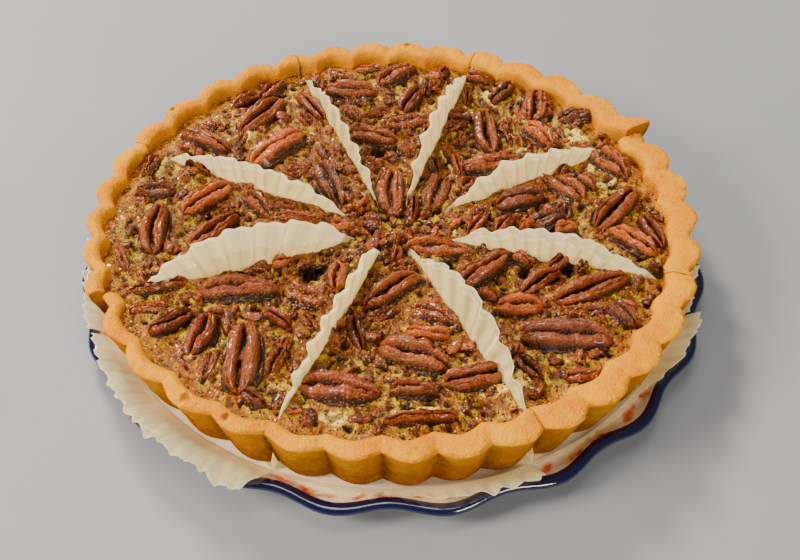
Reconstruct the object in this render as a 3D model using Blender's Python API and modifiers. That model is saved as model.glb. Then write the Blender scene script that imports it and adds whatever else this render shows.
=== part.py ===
"""A pecan pie in a fluted crust, cut in eight, each slice on a folded paper, on its dish.

The origin is on the table under the pie's axis. +Z is up and -Y faces the person who serves it.
Lengths are in millimetres and angles in degrees from +X, counterclockwise, until mesh points are made.
Slice 1 lies at the back and the others follow clockwise, so slice 5 lies in front.
"""
import random
from math import atan2, cos, degrees, hypot, pi, radians, sin, sqrt

import bmesh
import bpy
from mathutils import Matrix, Vector, noise
from mathutils.geometry import delaunay_2d_cdt

MM = 0.001

# Driving sizes of the pie
CRUST_RADIUS = 125.0
CRUST_HEIGHT = 25.0
CRUST_FLOOR = 3.0
FOOT_RADIUS = 118.0
FLUTES = 37
FLUTE_DEPTH_AT_RIM = 4.0
FLUTE_DEPTH_AT_FOOT = 3.0
FLUTE_DEPTH_INSIDE = 2.2
STEPS_PER_FLUTE = 4
FIRST_FLUTE = 106.0
# Each row is a harmonic of the angle, with its cosine and sine parts in degrees
FLUTE_WARP = ((1, -1.4, -0.2), (2, -0.8, 0.8), (3, 0.0, 0.6), (4, 0.3, -1.0))
RIM_WIDTH = 9.6
RIM_WIDER_ON_THE_RIGHT = 2.9
FILLING_DEPTH_IN_THE_MIDDLE = 12.0
FILLING_RISE_TO_THE_RIM = 7.0

# Where the knife went, clockwise from the back left, and half the room it left
CUTS = (113.8, 71.0, 24.8, -19.3, -65.6, -110.2, -155.0, -200.4)
SLICES = len(CUTS)
HALF_CUT = 1.3
GAP = 0.3
FILLING_GAP = 0.45
RIM_WAVE = 0.5

# The dish
DISH_FLOOR = 7.5
DISH_LOBES = 20
DISH_LOBE_DEPTH = 2.0
DISH_STEPS = 80
# Rings from the middle underneath, out and round to the floor: radius, height, share of the lobes
DISH_RINGS = (
    (79.0, 1.8, 0.0), (81.0, 0.0, 0.0), (86.0, 0.0, 0.0), (118.0, 3.2, 0.0),
    (130.4, 8.4, 1.0), (129.0, 11.0, 1.0), (126.0, 10.2, 0.9), (120.0, DISH_FLOOR, 0.0))

# The papers
PAPER = 0.4
PAPER_MIDDLE = DISH_FLOOR + GAP + PAPER / 2
PAPER_FROM_CUT = 0.5
PAPER_ARC = 60.0
PAPER_ARC_MIDDLE = 68.0
WALL_STATIONS = (15.0, 23.0, 33.0, 45.0, 56.0, 67.0, 78.0, 90.0, 104.0, 119.6)
PLEAT = 0.45
LEAN = 0.5
LEAN_STARTS = 33.0
LEAN_GROWS_OVER = 8.0
# How far the paper on either side of each cut stands above the rim: slice before, slice after
PAPER_TOPS = (
    (7.0, 5.0), (9.0, 7.0), (4.5, 2.5), (5.6, 1.0),
    (10.0, 8.0), (5.0, 3.5), (1.2, 11.5), (2.0, 3.7))
LEAST_WALL = 3.0
FOLD_AT = 0.6
FLAP_START = 119.5
FLAP_SLOPE = 0.61
FLAP_STEPS = 8
FLAP_SHARE = 0.92
LEAST_FLAP = 1.5
RUFFLE = 0.7
FLAP_REACH = (127.5, 127.0, 127.5, 129.0, 128.0, 132.0, 127.5, 127.0)
FLAP_TURN = (0.0, 0.0, 0.0, 9.0, 6.0, 0.0, 0.0, 0.0)

PAPER_FLOOR_TOP = PAPER_MIDDLE + PAPER / 2
CRUST_BASE = PAPER_FLOOR_TOP + GAP
RIM_TOP = CRUST_BASE + CRUST_HEIGHT
FILLING_BASE = CRUST_BASE + CRUST_FLOOR + GAP

# Relief of the custard
LUMP = 1.3
LUMP_SIZE = 13.0
POINT_SPACING = 11.5
POINT_SHIFT = 2.5
POINT_FROM_EDGE = 6.0
POINT_ROWS = 9
LAST_POINT = 106.0
FIRST_EDGE_POINT = 20.0
EDGE_POINTS = 8
CORNER_BACK = 0.3
CORNER_ANGLE = 1.2

# Pecan halves
PECAN_HEIGHT = 6.0
PECAN_BELLY = 3.2
SUNK_PECAN_HEIGHT = 4.2
GROOVE_FLOOR = 0.62
LOBE_RISE = 0.36
PECAN_SIDES = 8
PECAN_RINGS = 6
BELLY_WIDENS = 1.15
BELLY_FLATTENS = 1.6
SEAT_GAP = 0.4
PROUD_LIFT = 0.4
SUNK_LIFT = -0.6
PROUD_TILT = 6.0
SUNK_TILT = 8.0
SLOPE_REACH = 8.0

# The large halves that lie on top, four to a slice: x, y, turn, length, width
PROUD_PECANS = (
    ((-1, 27, 90, 21, 9), (-9, 58, -12, 21, 12), (-21, 91, -5, 25, 12), (0, 102, 25, 20, 11)),
    ((43.5, 62.5, 95, 30, 13), (43, 37.5, 8, 23, 11), (63, 77, 78, 19, 13), (66, 55.5, -50, 18, 11)),
    ((55, 13, 15, 21, 12), (96, 31.5, -65, 17, 12), (92.5, 5, 50, 26, 13), (97.5, -17.5, -50, 19, 11)),
    ((64, -67, -8, 34, 17), (77, -43, 20, 30, 12), (35.5, -29.5, 43, 23, 12), (49, -50.5, -5, 17, 11)),
    ((8, -75.5, -25, 27, 15), (-16, -92, -8, 24, 14), (26, -88, 15, 17, 11), (0, -41, 38, 25, 11)),
    ((-59, -44, 2, 31, 13), (-53.5, -77, 93, 33, 15), (-71, -67, 78, 21, 11), (-33, -46, -30, 19, 10)),
    ((-97, -9, 94, 29, 12), (-80, 11.5, 50, 25, 13), (-74, -9, 50, 21, 10), (-57, 9, -50, 17, 10)),
    ((-52, 48, 47, 31, 16), (-63, 71, 55, 28, 14), (-28, 29, -70, 27, 11), (-86, 50, -25, 23, 10)))

# Smaller and deeper halves, baked into the custard
SUNK_PECANS = (
    ((5, 70, 10, 21, 10), (4, 45, -70, 14, 8), (9, 85, 70, 16, 9), (-20, 74, -40, 14, 8),
     (16, 98, 80, 13, 7)),
    ((21, 21, 55, 18, 9), (22, 40, -75, 13, 7), (31.5, 70, 80, 13, 6), (50, 88, 50, 15, 9),
     (80, 63, 10, 15, 9)),
    ((75, 19.5, -55, 18, 10), (67, -2, 20, 16, 8), (36, 0, 50, 13, 8), (48, -3.5, 50, 11, 7),
     (84, 22, -60, 12, 6)),
    ((20, -17, -25, 17, 8), (58, -35, 35, 16, 8), (86, -57, -60, 14, 9), (48, -81, -60, 12, 7)),
    ((13, -56, -25, 15, 8), (14, -64, -5, 14, 6), (-14, -66, -78, 20, 8), (8, -96, -5, 15, 7),
     (0, -27, 15, 11, 7)),
    ((-87, -50, 18, 19, 8), (-85, -61, 45, 14, 8), (-24, -32, 85, 13, 8), (-42, -62, -50, 13, 8),
     (-40, -79, 75, 16, 7)),
    ((-36, 0.5, -10, 19, 8), (-102, 16, 0, 15, 9), (-104, 28, 80, 10, 6), (-106, -30, -65, 15, 5)),
    ((-46, 75, -55, 18, 8), (-37, 67, -60, 11, 8), (-61, 89, 45, 14, 7), (-43, 31, 20, 12, 7),
     (-70, 51, 70, 12, 7)))


def slice_angles(k):
    """The slice's middle direction and half its opening, in degrees."""
    start = CUTS[k]
    end = CUTS[k + 1] if k + 1 < SLICES else CUTS[0] - 360.0
    return (start + end) / 2, (start - end) / 2


def turned(x, y, angle):
    """A point of a slice's own frame, whose x axis runs out along the slice, in the pie's frame."""
    a = radians(angle)
    return x * cos(a) - y * sin(a), x * sin(a) + y * cos(a)


def beside_cut(along, inwards, half, side):
    """A point beside one of a slice's cuts, in the slice's own frame."""
    a = radians(half)
    return along * cos(a) + inwards * sin(a), side * (along * sin(a) - inwards * cos(a))


# The crust's outline

def warp(angle):
    return sum(c * cos(order * radians(angle)) + s * sin(order * radians(angle)) for order, c, s in FLUTE_WARP)


def flute_wave(angle):
    """1 on a flute's crest and 0 in the crease between two."""
    count = (FIRST_FLUTE + warp(angle) - angle) * FLUTES / 360.0
    return abs(cos(pi * count))


def column_angles():
    """Angles of the crust's columns: four to a flute, however uneven the flutes are."""
    angles = []
    for column in range(FLUTES * STEPS_PER_FLUTE):
        even = FIRST_FLUTE - column * 360.0 / (FLUTES * STEPS_PER_FLUTE)
        angle = even
        for _ in range(8):
            angle = even + warp(angle)
        angles.append(angle)
    return angles


def unevenness(angle):
    return 0.6 * sin(radians(3 * angle - 80)) + 0.5 * sin(radians(5 * angle + 40))


def crust_outside(angle, level):
    """Radius of the outside wall, at the foot for level 0 and at the rim for level 1."""
    crest = FOOT_RADIUS + (CRUST_RADIUS - FOOT_RADIUS) * level + unevenness(angle) * level
    depth = FLUTE_DEPTH_AT_FOOT + (FLUTE_DEPTH_AT_RIM - FLUTE_DEPTH_AT_FOOT) * level
    return crest - depth * (1 - flute_wave(angle))


def crust_inside(angle):
    rim = RIM_WIDTH + RIM_WIDER_ON_THE_RIGHT * cos(radians(angle))
    return CRUST_RADIUS - rim - FLUTE_DEPTH_INSIDE * (1 - flute_wave(angle))


def rim_top(angle):
    return RIM_TOP + RIM_WAVE * sin(radians(4 * angle + 20))


# The custard's surface

def filling_top(x, y):
    """Height of the custard, dished towards the middle and lumpy."""
    radius = hypot(x, y)
    smooth = RIM_TOP - FILLING_DEPTH_IN_THE_MIDDLE + FILLING_RISE_TO_THE_RIM * (radius / 112.0) ** 2
    return smooth + LUMP * noise.noise(Vector((x / LUMP_SIZE, y / LUMP_SIZE, 0.5)))


# Making of objects

def material(name, colour, roughness, coat=0.0):
    """One finish: its colour, roughness and clear coat."""
    finish = bpy.data.materials.new(name)
    finish.use_nodes = True
    shader = finish.node_tree.nodes["Principled BSDF"]
    shader.inputs["Base Color"].default_value = (*colour, 1.0)
    shader.inputs["Roughness"].default_value = roughness
    shader.inputs["Coat Weight"].default_value = coat
    finish.diffuse_color = (*colour, 1.0)
    return finish


def add_object(name, bm, finish, collection):
    """Turns a bmesh in millimetres into an object in metres."""
    bmesh.ops.recalc_face_normals(bm, faces=bm.faces)
    bmesh.ops.scale(bm, vec=(MM, MM, MM), verts=bm.verts)
    mesh = bpy.data.meshes.new(name)
    bm.to_mesh(mesh)
    bm.free()
    if finish:
        mesh.materials.append(finish)
    obj = bpy.data.objects.new(name, mesh)
    collection.objects.link(obj)
    return obj


def boolean(obj, name, operation, other):
    """Adds a Boolean modifier with an object or a collection as its second solid."""
    cut = obj.modifiers.new(name, "BOOLEAN")
    cut.operation = operation
    cut.solver = "EXACT"
    if isinstance(other, bpy.types.Collection):
        cut.operand_type = "COLLECTION"
        cut.collection = other
    else:
        cut.object = other


def loft(rings):
    """A closed solid through rings of points, with its first and last ring capped."""
    bm = bmesh.new()
    loops = [[bm.verts.new(point) for point in ring] for ring in rings]
    for lower, upper in zip(loops, loops[1:]):
        for i in range(len(lower)):
            j = (i + 1) % len(lower)
            bm.faces.new((lower[i], lower[j], upper[j], upper[i]))
    bm.faces.new(list(reversed(loops[0])))
    bm.faces.new(loops[-1])
    return bm


def ring(angles, radius, height):
    """Points round the pie's axis, from a radius and a height that may follow the angle."""
    return [(radius(a) * cos(radians(a)), radius(a) * sin(radians(a)), height(a)) for a in angles]


# The dish

def build_dish(finish, collection):
    def lobe(angle):
        return -cos(radians(DISH_LOBES * (angle + 90.0)))

    angles = [360.0 * i / DISH_STEPS for i in range(DISH_STEPS)]
    rings = []
    for radius, height, share in DISH_RINGS:
        rings.append(ring(
            angles,
            lambda a, r=radius, s=share: r - DISH_LOBE_DEPTH * s * (1 - lobe(a)) / 2,
            lambda a, z=height: z))
    return add_object("dish", loft(rings), finish, collection)


# The papers

def wall_top(along, above_rim):
    """Height of a paper's edge beside a cut: an arc of the round sheet that was folded up."""
    away = along - PAPER_ARC_MIDDLE
    top = RIM_TOP + above_rim - (PAPER_ARC - sqrt(PAPER_ARC ** 2 - away ** 2))
    return max(top, PAPER_MIDDLE + LEAST_WALL)


def wall_shift(station, height, cut):
    """Pleats and lean of the papers in a cut, the same for both, where they stand clear of the slices."""
    free = max(0.0, min(1.0, (height - LEAN_STARTS) / LEAN_GROWS_OVER))
    pleat = PLEAT if station % 2 else -PLEAT
    return free * (pleat + LEAN * sin(radians(70 * cut + 9 * WALL_STATIONS[station])))


def build_paper(k, finish, collection):
    """One round sheet under a slice, folded up along both cuts and out over the dish's edge."""
    middle, half = slice_angles(k)
    bm = bmesh.new()

    def vert(x, y, z):
        return bm.verts.new((*turned(x, y, middle), z))

    def wall(side, cut, above_rim):
        columns = []
        for i, along in enumerate(WALL_STATIONS):
            top = wall_top(along, above_rim)
            column = []
            for height in (PAPER_MIDDLE, PAPER_MIDDLE + FOLD_AT * (top - PAPER_MIDDLE), top):
                # Both papers of a cut move the same way, so the second one's shift is mirrored
                inwards = PAPER_FROM_CUT - side * wall_shift(i, height, cut)
                column.append(vert(*beside_cut(along, inwards, half, side), height))
            columns.append(column)
        for one, two in zip(columns, columns[1:]):
            bm.faces.new((one[0], two[0], two[1], one[1]))
            bm.faces.new((one[1], two[1], two[2], one[2]))
        return columns

    left = wall(1, k, PAPER_TOPS[k][1])
    right = wall(-1, (k + 1) % SLICES, PAPER_TOPS[(k + 1) % SLICES][0])

    sheet_middle = FLAP_REACH[k] / 2
    flap = []
    for i in range(FLAP_STEPS):
        angle = half * FLAP_SHARE * (1 - 2 * i / (FLAP_STEPS - 1))
        off = radians(angle - FLAP_TURN[k])
        reach = sheet_middle * cos(off) + sqrt(sheet_middle ** 2 * (1 - sin(off) ** 2))
        ruffle = RUFFLE if i % 2 else -RUFFLE
        reach = max(FLAP_START + LEAST_FLAP, reach + ruffle)
        base = turned(FLAP_START, 0, angle)
        edge = turned(reach, 0, angle)
        rise = FLAP_SLOPE * (reach - FLAP_START)
        flap.append((vert(*base, PAPER_MIDDLE), vert(*edge, PAPER_MIDDLE + rise)))

    for one, two in zip(flap, flap[1:]):
        bm.faces.new((one[0], two[0], two[1], one[1]))
    bm.faces.new((*left[-1], flap[0][1], flap[0][0]))
    bm.faces.new((*right[-1], flap[-1][1], flap[-1][0]))
    floor = [column[0] for column in left] + [base for base, _ in flap]
    floor += [column[0] for column in reversed(right)]
    bm.faces.new(floor)
    bmesh.ops.recalc_face_normals(bm, faces=bm.faces)
    bmesh.ops.triangulate(bm, faces=bm.faces)

    paper = add_object(f"paper_{k + 1}", bm, finish, collection)
    sheet = paper.modifiers.new("thickness", "SOLIDIFY")
    sheet.thickness = PAPER * MM
    sheet.offset = 0.0
    sheet.use_even_offset = True
    return paper


# The crust

def whole_crust():
    """The crust before it was cut: a fluted wall round a flat floor."""
    angles = list(reversed(column_angles()))
    return loft((
        ring(angles, lambda a: crust_outside(a, 0), lambda a: CRUST_BASE),
        ring(angles, lambda a: crust_outside(a, 1), rim_top),
        ring(angles, crust_inside, rim_top),
        ring(angles, crust_inside, lambda a: CRUST_BASE + CRUST_FLOOR)))


def slice_wedge(k, cutters):
    """What the knife left of slice k: a wedge that stops short of both cuts."""
    middle, half = slice_angles(k)
    reach = 2 * CRUST_RADIUS
    bm = bmesh.new()
    corners = [(HALF_CUT / sin(radians(half)), 0.0)]
    corners += [beside_cut(reach, HALF_CUT, half, side) for side in (-1, 1)]
    face = bm.faces.new([bm.verts.new((*turned(x, y, middle), 0.0)) for x, y in corners])
    raised = bmesh.ops.extrude_face_region(bm, geom=[face])["geom"]
    top = [v for v in raised if isinstance(v, bmesh.types.BMVert)]
    bmesh.ops.translate(bm, vec=(0, 0, 2 * RIM_TOP), verts=top)
    return add_cutter(f"wedge_{k + 1}", bm, cutters)


def add_cutter(name, bm, cutters):
    cutter = add_object(name, bm, None, cutters)
    cutter.hide_render = True
    cutter.display_type = "WIRE"
    return cutter


def build_crust(k, whole, wedge, finish, collection):
    crust = bpy.data.objects.new(f"crust_{k + 1}", whole)
    collection.objects.link(crust)
    boolean(crust, "knife", "INTERSECT", wedge)
    return crust


# The filling

def filling_outline(k):
    """The slice's outline in its own frame: up one cut, round inside the crust, back down the other."""
    middle, half = slice_angles(k)

    def edge(angle):
        return crust_inside(angle) - FILLING_GAP

    apex = HALF_CUT / sin(radians(half))
    outer = []
    for side in (-1, 1):
        radius = edge(middle + side * half)
        along = sqrt(radius ** 2 - HALF_CUT ** 2)
        outer.append(beside_cut(along - CORNER_BACK, HALF_CUT, half, side))
    stations = [FIRST_EDGE_POINT + POINT_SPACING * i for i in range(EDGE_POINTS)]
    points = [(apex, 0.0)]
    points += [beside_cut(s, HALF_CUT, half, -1) for s in stations]
    points.append(outer[0])
    for angle in sorted((a - middle + 180) % 360 - 180 for a in column_angles()):
        if abs(angle) < half - CORNER_ANGLE:
            points.append(turned(edge(middle + angle), 0, angle))
    points.append(outer[1])
    points += [beside_cut(s, HALF_CUT, half, 1) for s in reversed(stations)]
    return points


def inner_points(k, rng):
    """Uneven points over the slice, clear of its edges."""
    middle, half = slice_angles(k)
    points = []
    for row in range(1, POINT_ROWS + 1):
        radius = POINT_FROM_EDGE + POINT_SPACING * row
        half_width = radius * sin(radians(half))
        count = int(2 * (half_width - POINT_FROM_EDGE) / POINT_SPACING)
        for i in range(count):
            angle = half * ((i + 0.5) / count * 2 - 1) * (1 - POINT_FROM_EDGE / half_width)
            away = min(radius + rng.uniform(-POINT_SHIFT, POINT_SHIFT), LAST_POINT)
            sideways = degrees(rng.uniform(-POINT_SHIFT, POINT_SHIFT) / radius)
            points.append(turned(away, 0, angle + sideways))
    return points


def custard(k, rng):
    """The bare custard of a slice: an uneven top over a flat base."""
    middle, _ = slice_angles(k)
    outline = filling_outline(k)
    flat = [Vector(p) for p in outline + inner_points(k, rng)]
    rim = [(i, (i + 1) % len(outline)) for i in range(len(outline))]
    points, _, faces, origins, _, _ = delaunay_2d_cdt(flat, rim, [], 1, 0.001)
    bm = bmesh.new()
    tops = []
    for point in points:
        x, y = turned(point.x, point.y, middle)
        tops.append(bm.verts.new((x, y, filling_top(x, y))))
    for face in faces:
        bm.faces.new([tops[i] for i in face])
    place = {old: new for new, olds in enumerate(origins) for old in olds}
    upper = [tops[place[i]] for i in range(len(outline))]
    lower = [bm.verts.new((v.co.x, v.co.y, FILLING_BASE)) for v in upper]
    for i, j in rim:
        bm.faces.new((upper[i], lower[i], lower[j], upper[j]))
    bm.faces.new(list(reversed(lower)))
    return bm


# The pecans

def pecan_half(length, width, height, belly, extra=0.0):
    """A pecan half with two lobes and a groove, its flat belly down and its length along X."""
    bm = bmesh.new()
    bmesh.ops.create_uvsphere(bm, u_segments=PECAN_SIDES, v_segments=PECAN_RINGS, radius=1.0)
    bmesh.ops.rotate(bm, cent=(0, 0, 0), matrix=Matrix.Rotation(pi / 2, 3, "Y"), verts=bm.verts)
    for v in bm.verts:
        x, y, z = v.co
        girth = hypot(y, z)
        if z > 0.01:
            around = atan2(z, abs(y))
            ridge = sin(2 * around)
            z = girth * (GROOVE_FLOOR * sin(around) + LOBE_RISE * ridge) * (height + extra)
        elif z < -0.01:
            z = -(belly + extra) * min(1.0, BELLY_FLATTENS * girth)
            y *= BELLY_WIDENS
        v.co = (x * (length / 2 + extra), y * (width / 2 + extra), z)
    return bm


def place_pecan(bm, x, y, turn, lift, tilt):
    """Lays a pecan half on the custard at x, y, turned and tipped a little."""
    along = Vector((cos(radians(turn)), sin(radians(turn))))
    front = filling_top(x + along.x * SLOPE_REACH, y + along.y * SLOPE_REACH)
    back = filling_top(x - along.x * SLOPE_REACH, y - along.y * SLOPE_REACH)
    slope = atan2(front - back, 2 * SLOPE_REACH)
    matrix = Matrix.Translation((x, y, (front + back) / 2 + lift))
    matrix = matrix @ Matrix.Rotation(radians(turn), 4, "Z") @ Matrix.Rotation(-slope, 4, "Y")
    matrix = matrix @ Matrix.Rotation(tilt, 4, "X")
    bmesh.ops.transform(bm, matrix=matrix, verts=bm.verts)
    return bm


def build_filling(k, finishes, collection, cutters, rng):
    """The custard of a slice with its sunk pecans fused on, and its four large halves seated in it."""
    bare = add_object(f"custard_{k + 1}", custard(k, rng), finishes["custard"], collection)
    sunk = bpy.data.collections.new(f"sunk_{k + 1}")
    collection.children.link(sunk)
    for n, (x, y, turn, length, width) in enumerate(SUNK_PECANS[k], 1):
        nut = pecan_half(length, width, SUNK_PECAN_HEIGHT, PECAN_BELLY)
        place_pecan(nut, x, y, turn, SUNK_LIFT, radians(rng.uniform(-SUNK_TILT, SUNK_TILT)))
        add_object(f"sunk_{k + 1}_{n}", nut, None, sunk)
    seats = bpy.data.collections.new(f"seats_{k + 1}")
    cutters.children.link(seats)
    for n, (x, y, turn, length, width) in enumerate(PROUD_PECANS[k], 1):
        tilt = radians(rng.uniform(-PROUD_TILT, PROUD_TILT))
        nut = pecan_half(length, width, PECAN_HEIGHT, PECAN_BELLY)
        place_pecan(nut, x, y, turn, PROUD_LIFT, tilt)
        add_object(f"pecan_{k + 1}_{n}", nut, finishes["pecan"], collection)
        seat = pecan_half(length, width, PECAN_HEIGHT, PECAN_BELLY, SEAT_GAP)
        place_pecan(seat, x, y, turn, PROUD_LIFT, tilt)
        add_cutter(f"seat_{k + 1}_{n}", seat, seats)

    boolean(bare, "sunk pecans", "UNION", sunk)
    boolean(bare, "seats", "DIFFERENCE", seats)
    bpy.context.view_layer.update()
    evaluated = bare.evaluated_get(bpy.context.evaluated_depsgraph_get())
    mesh = bpy.data.meshes.new_from_object(evaluated)
    mesh.name = f"filling_{k + 1}"
    filling = bpy.data.objects.new(f"filling_{k + 1}", mesh)
    collection.objects.link(filling)
    for used in [bare, *sunk.objects, *seats.objects]:
        bpy.data.objects.remove(used, do_unlink=True)
    bpy.data.collections.remove(sunk)
    bpy.data.collections.remove(seats)
    return filling


def main():
    for obj in list(bpy.data.objects):
        bpy.data.objects.remove(obj, do_unlink=True)
    pie = bpy.data.collections.new("pecan_pie")
    cutters = bpy.data.collections.new("cutters")
    bpy.context.scene.collection.children.link(pie)
    bpy.context.scene.collection.children.link(cutters)
    finishes = {
        "dish": material("glazed dish", (0.80, 0.70, 0.55), 0.15, 0.6),
        "paper": material("white paper", (0.78, 0.72, 0.62), 0.80),
        "crust": material("baked crust", (0.80, 0.44, 0.12), 0.65),
        "custard": material("baked custard", (0.33, 0.20, 0.05), 0.45, 0.3),
        "pecan": material("baked pecan", (0.22, 0.06, 0.02), 0.40, 0.3)}
    rng = random.Random(8)

    build_dish(finishes["dish"], pie)
    whole = add_object("whole_crust", whole_crust(), finishes["crust"], cutters)
    for k in range(SLICES):
        wedge = slice_wedge(k, cutters)
        build_paper(k, finishes["paper"], pie)
        build_crust(k, whole.data, wedge, finishes["crust"], pie)
        build_filling(k, finishes, pie, cutters, rng)
    bpy.data.objects.remove(whole, do_unlink=True)


main()
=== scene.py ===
# %% [markdown]
# # A pecan pie, cut in eight, on its dish
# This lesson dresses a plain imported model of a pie. The real pie has a fluted shortcrust case,
# a toffee custard full of pecan halves, and a folded round of baking paper under each slice.
# Everything is in metres in Blender, but a pie is easier to think about in millimetres,
# so the sizes below are in millimetres and are scaled once, when a mesh is made.

from math import cos, pi, radians, sin, sqrt, tau

import bpy
import numpy as np
from mathutils import Matrix, Vector, noise


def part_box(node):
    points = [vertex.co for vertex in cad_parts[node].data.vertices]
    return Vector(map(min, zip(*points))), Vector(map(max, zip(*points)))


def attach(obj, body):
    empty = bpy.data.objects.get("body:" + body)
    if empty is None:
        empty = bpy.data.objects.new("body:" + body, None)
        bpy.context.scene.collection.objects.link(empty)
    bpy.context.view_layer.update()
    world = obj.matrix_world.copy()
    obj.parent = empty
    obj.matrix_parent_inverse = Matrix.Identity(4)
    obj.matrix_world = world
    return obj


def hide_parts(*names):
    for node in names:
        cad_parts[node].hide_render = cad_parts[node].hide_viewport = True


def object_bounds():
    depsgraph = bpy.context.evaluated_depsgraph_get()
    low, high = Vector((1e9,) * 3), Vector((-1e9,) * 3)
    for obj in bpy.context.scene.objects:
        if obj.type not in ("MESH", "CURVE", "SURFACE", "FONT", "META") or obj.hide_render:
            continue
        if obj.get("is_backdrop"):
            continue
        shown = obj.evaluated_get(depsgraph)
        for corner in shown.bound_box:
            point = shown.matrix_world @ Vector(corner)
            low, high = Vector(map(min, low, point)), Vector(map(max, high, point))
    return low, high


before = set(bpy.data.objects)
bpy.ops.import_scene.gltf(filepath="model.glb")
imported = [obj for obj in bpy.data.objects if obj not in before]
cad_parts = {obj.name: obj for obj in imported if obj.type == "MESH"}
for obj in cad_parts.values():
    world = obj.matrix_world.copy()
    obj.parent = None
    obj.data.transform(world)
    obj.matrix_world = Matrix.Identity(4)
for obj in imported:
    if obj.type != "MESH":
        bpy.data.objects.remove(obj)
CAD_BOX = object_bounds()
MM = 0.001
print("nodes in the frame:", len(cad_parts))

# %% [markdown]
# ## Driving sizes
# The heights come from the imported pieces, so every new piece sits on what carries it.
# The radii and the cuts are the pie's own: 37 flutes round a 250 mm case, and eight knife cuts.
# Angles are in degrees from +X, counterclockwise, and slice 5 lies in front.

# %% Sizes
CRUST_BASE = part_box("crust_5")[0].z / MM
CUSTARD_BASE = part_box("filling_5")[0].z / MM
DISH_FLOOR = 7.5
CASE_HEIGHT = 25.0
RIM_TOP = CRUST_BASE + CASE_HEIGHT
CRUST_FLOOR = 3.0
CRUST_RADIUS = 125.0
FOOT_RADIUS = 118.0
FLUTES = 37
FIRST_FLUTE = 106.0
FLUTE_WARP = ((1, -1.4, -0.2), (2, -0.8, 0.8), (3, 0.0, 0.6), (4, 0.3, -1.0))
CUTS = (113.8, 71.0, 24.8, -19.3, -65.6, -110.2, -155.0, -200.4)
SLICES = len(CUTS)
HALF_CUT = 0.55
HALF_CUT_IN_CRUST = 0.18
print("rim", RIM_TOP, "custard base", round(CUSTARD_BASE, 2))

# %% [markdown]
# ## The camera
# The photograph looks down on the pie at 45 degrees from close by. A long look from far away
# would flatten it, so the camera stands 0.4 m off with a 41 mm lens, as the real one did.

# %% Camera
CAMERA_PLACE = (2.8, -287.8, 281.0)
CAMERA_BELOW_HORIZON = 45.39
CAMERA_ROLL = -0.22
CAMERA_LENS = 41.19
camera = bpy.data.objects.new("camera", bpy.data.cameras.new("camera"))
bpy.context.scene.collection.objects.link(camera)
camera.data.lens = CAMERA_LENS
camera.data.sensor_width = 36.0
camera.data.clip_start = 0.01
tilt = Matrix.Rotation(radians(90 - CAMERA_BELOW_HORIZON), 4, "X")
roll = Matrix.Rotation(radians(-CAMERA_ROLL), 4, "Z")
camera.matrix_world = Matrix.Translation(Vector(CAMERA_PLACE) * MM) @ tilt @ roll
bpy.context.scene.camera = camera
print("camera", camera.name, "with a lens of", CAMERA_LENS, "mm")

# %% [markdown]
# ## Light and floor
# Food looks best lit from behind: the gloss on the nuts then faces the camera, and the front of
# the case falls into soft shade. One large soft lamp behind does that, and a paler one overhead
# fills the shadows. A low lamp from the left shines into the folded papers, and a weak one in front
# opens the shade under the rim. The floor is plain, pale and matt, so that it doesn't tint the dish.

# %% Studio
def lamp(name, place, target, size, watts, colour):
    """A square soft lamp in metres that faces a target."""
    light = bpy.data.lights.new(name, "AREA")
    light.size = size
    light.energy = watts
    light.color = colour
    holder = bpy.data.objects.new(name, light)
    holder.location = place
    holder.rotation_euler = (Vector(target) - Vector(place)).to_track_quat("-Z", "Y").to_euler()
    bpy.context.scene.collection.objects.link(holder)


PIE_MIDDLE = (0, 0, 0.02)
lamp("back lamp", (-0.45, 0.95, 0.98), PIE_MIDDLE, 0.26, 31.0, (1.0, 0.90, 0.72))
lamp("overhead lamp", (-0.15, 0.10, 1.6), PIE_MIDDLE, 0.7, 12.0, (1.0, 0.91, 0.77))
lamp("left lamp", (-0.85, -0.30, 0.62), PIE_MIDDLE, 0.3, 18.0, (1.0, 0.88, 0.70))
lamp("front lamp", (0.70, -1.20, 0.75), PIE_MIDDLE, 0.45, 17.0, (1.0, 0.90, 0.76))

world = bpy.data.worlds.new("pale room")
bpy.context.scene.world = world
world.use_nodes = True
room = world.node_tree.nodes["Background"].inputs
room["Color"].default_value = (0.95, 0.88, 0.80, 1)
room["Strength"].default_value = 0.18

bpy.ops.mesh.primitive_plane_add(size=6.0, location=(0, 0, 0))
floor = bpy.context.object
floor.name = "floor"
floor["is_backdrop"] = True
print("lamps:", [light.name for light in bpy.data.lights])

# %% [markdown]
# ## Small helpers
# Three helpers keep the rest short. `add` makes a shader node and fills its inputs with numbers
# or links. `piece` turns points and faces in millimetres into an object that rides on the pie.
# `grid` joins neighbouring points of a table of rows and columns with four-sided faces.

# %% Shader helpers
def srgb(red, green, blue):
    """A colour, 0 to 255, as the linear values that shaders use."""
    def linear(value):
        value /= 255
        return value / 12.92 if value <= 0.04045 else ((value + 0.055) / 1.055) ** 2.4
    return linear(red), linear(green), linear(blue), 1.0


def add(tree, kind, props=None, **inputs):
    """A shader node with its properties set and its inputs filled or linked."""
    made = tree.nodes.new("ShaderNode" + kind)
    for name, value in (props or {}).items():
        setattr(made, name, value)
    for name, value in inputs.items():
        feed(tree, made.inputs[name.replace("_", " ")], value)
    return made


def feed(tree, socket, value):
    """Links a socket to another one, or gives it a plain value."""
    if isinstance(value, bpy.types.NodeSocket):
        tree.links.new(value, socket)
    else:
        socket.default_value = value


def mix(tree, share, one, other):
    """Mixes two colours by a share from 0 to 1."""
    node = tree.nodes.new("ShaderNodeMix")
    node.data_type = "RGBA"
    feed(tree, node.inputs[0], share)
    feed(tree, node.inputs[6], one)
    feed(tree, node.inputs[7], other)
    return node.outputs[2]


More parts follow.
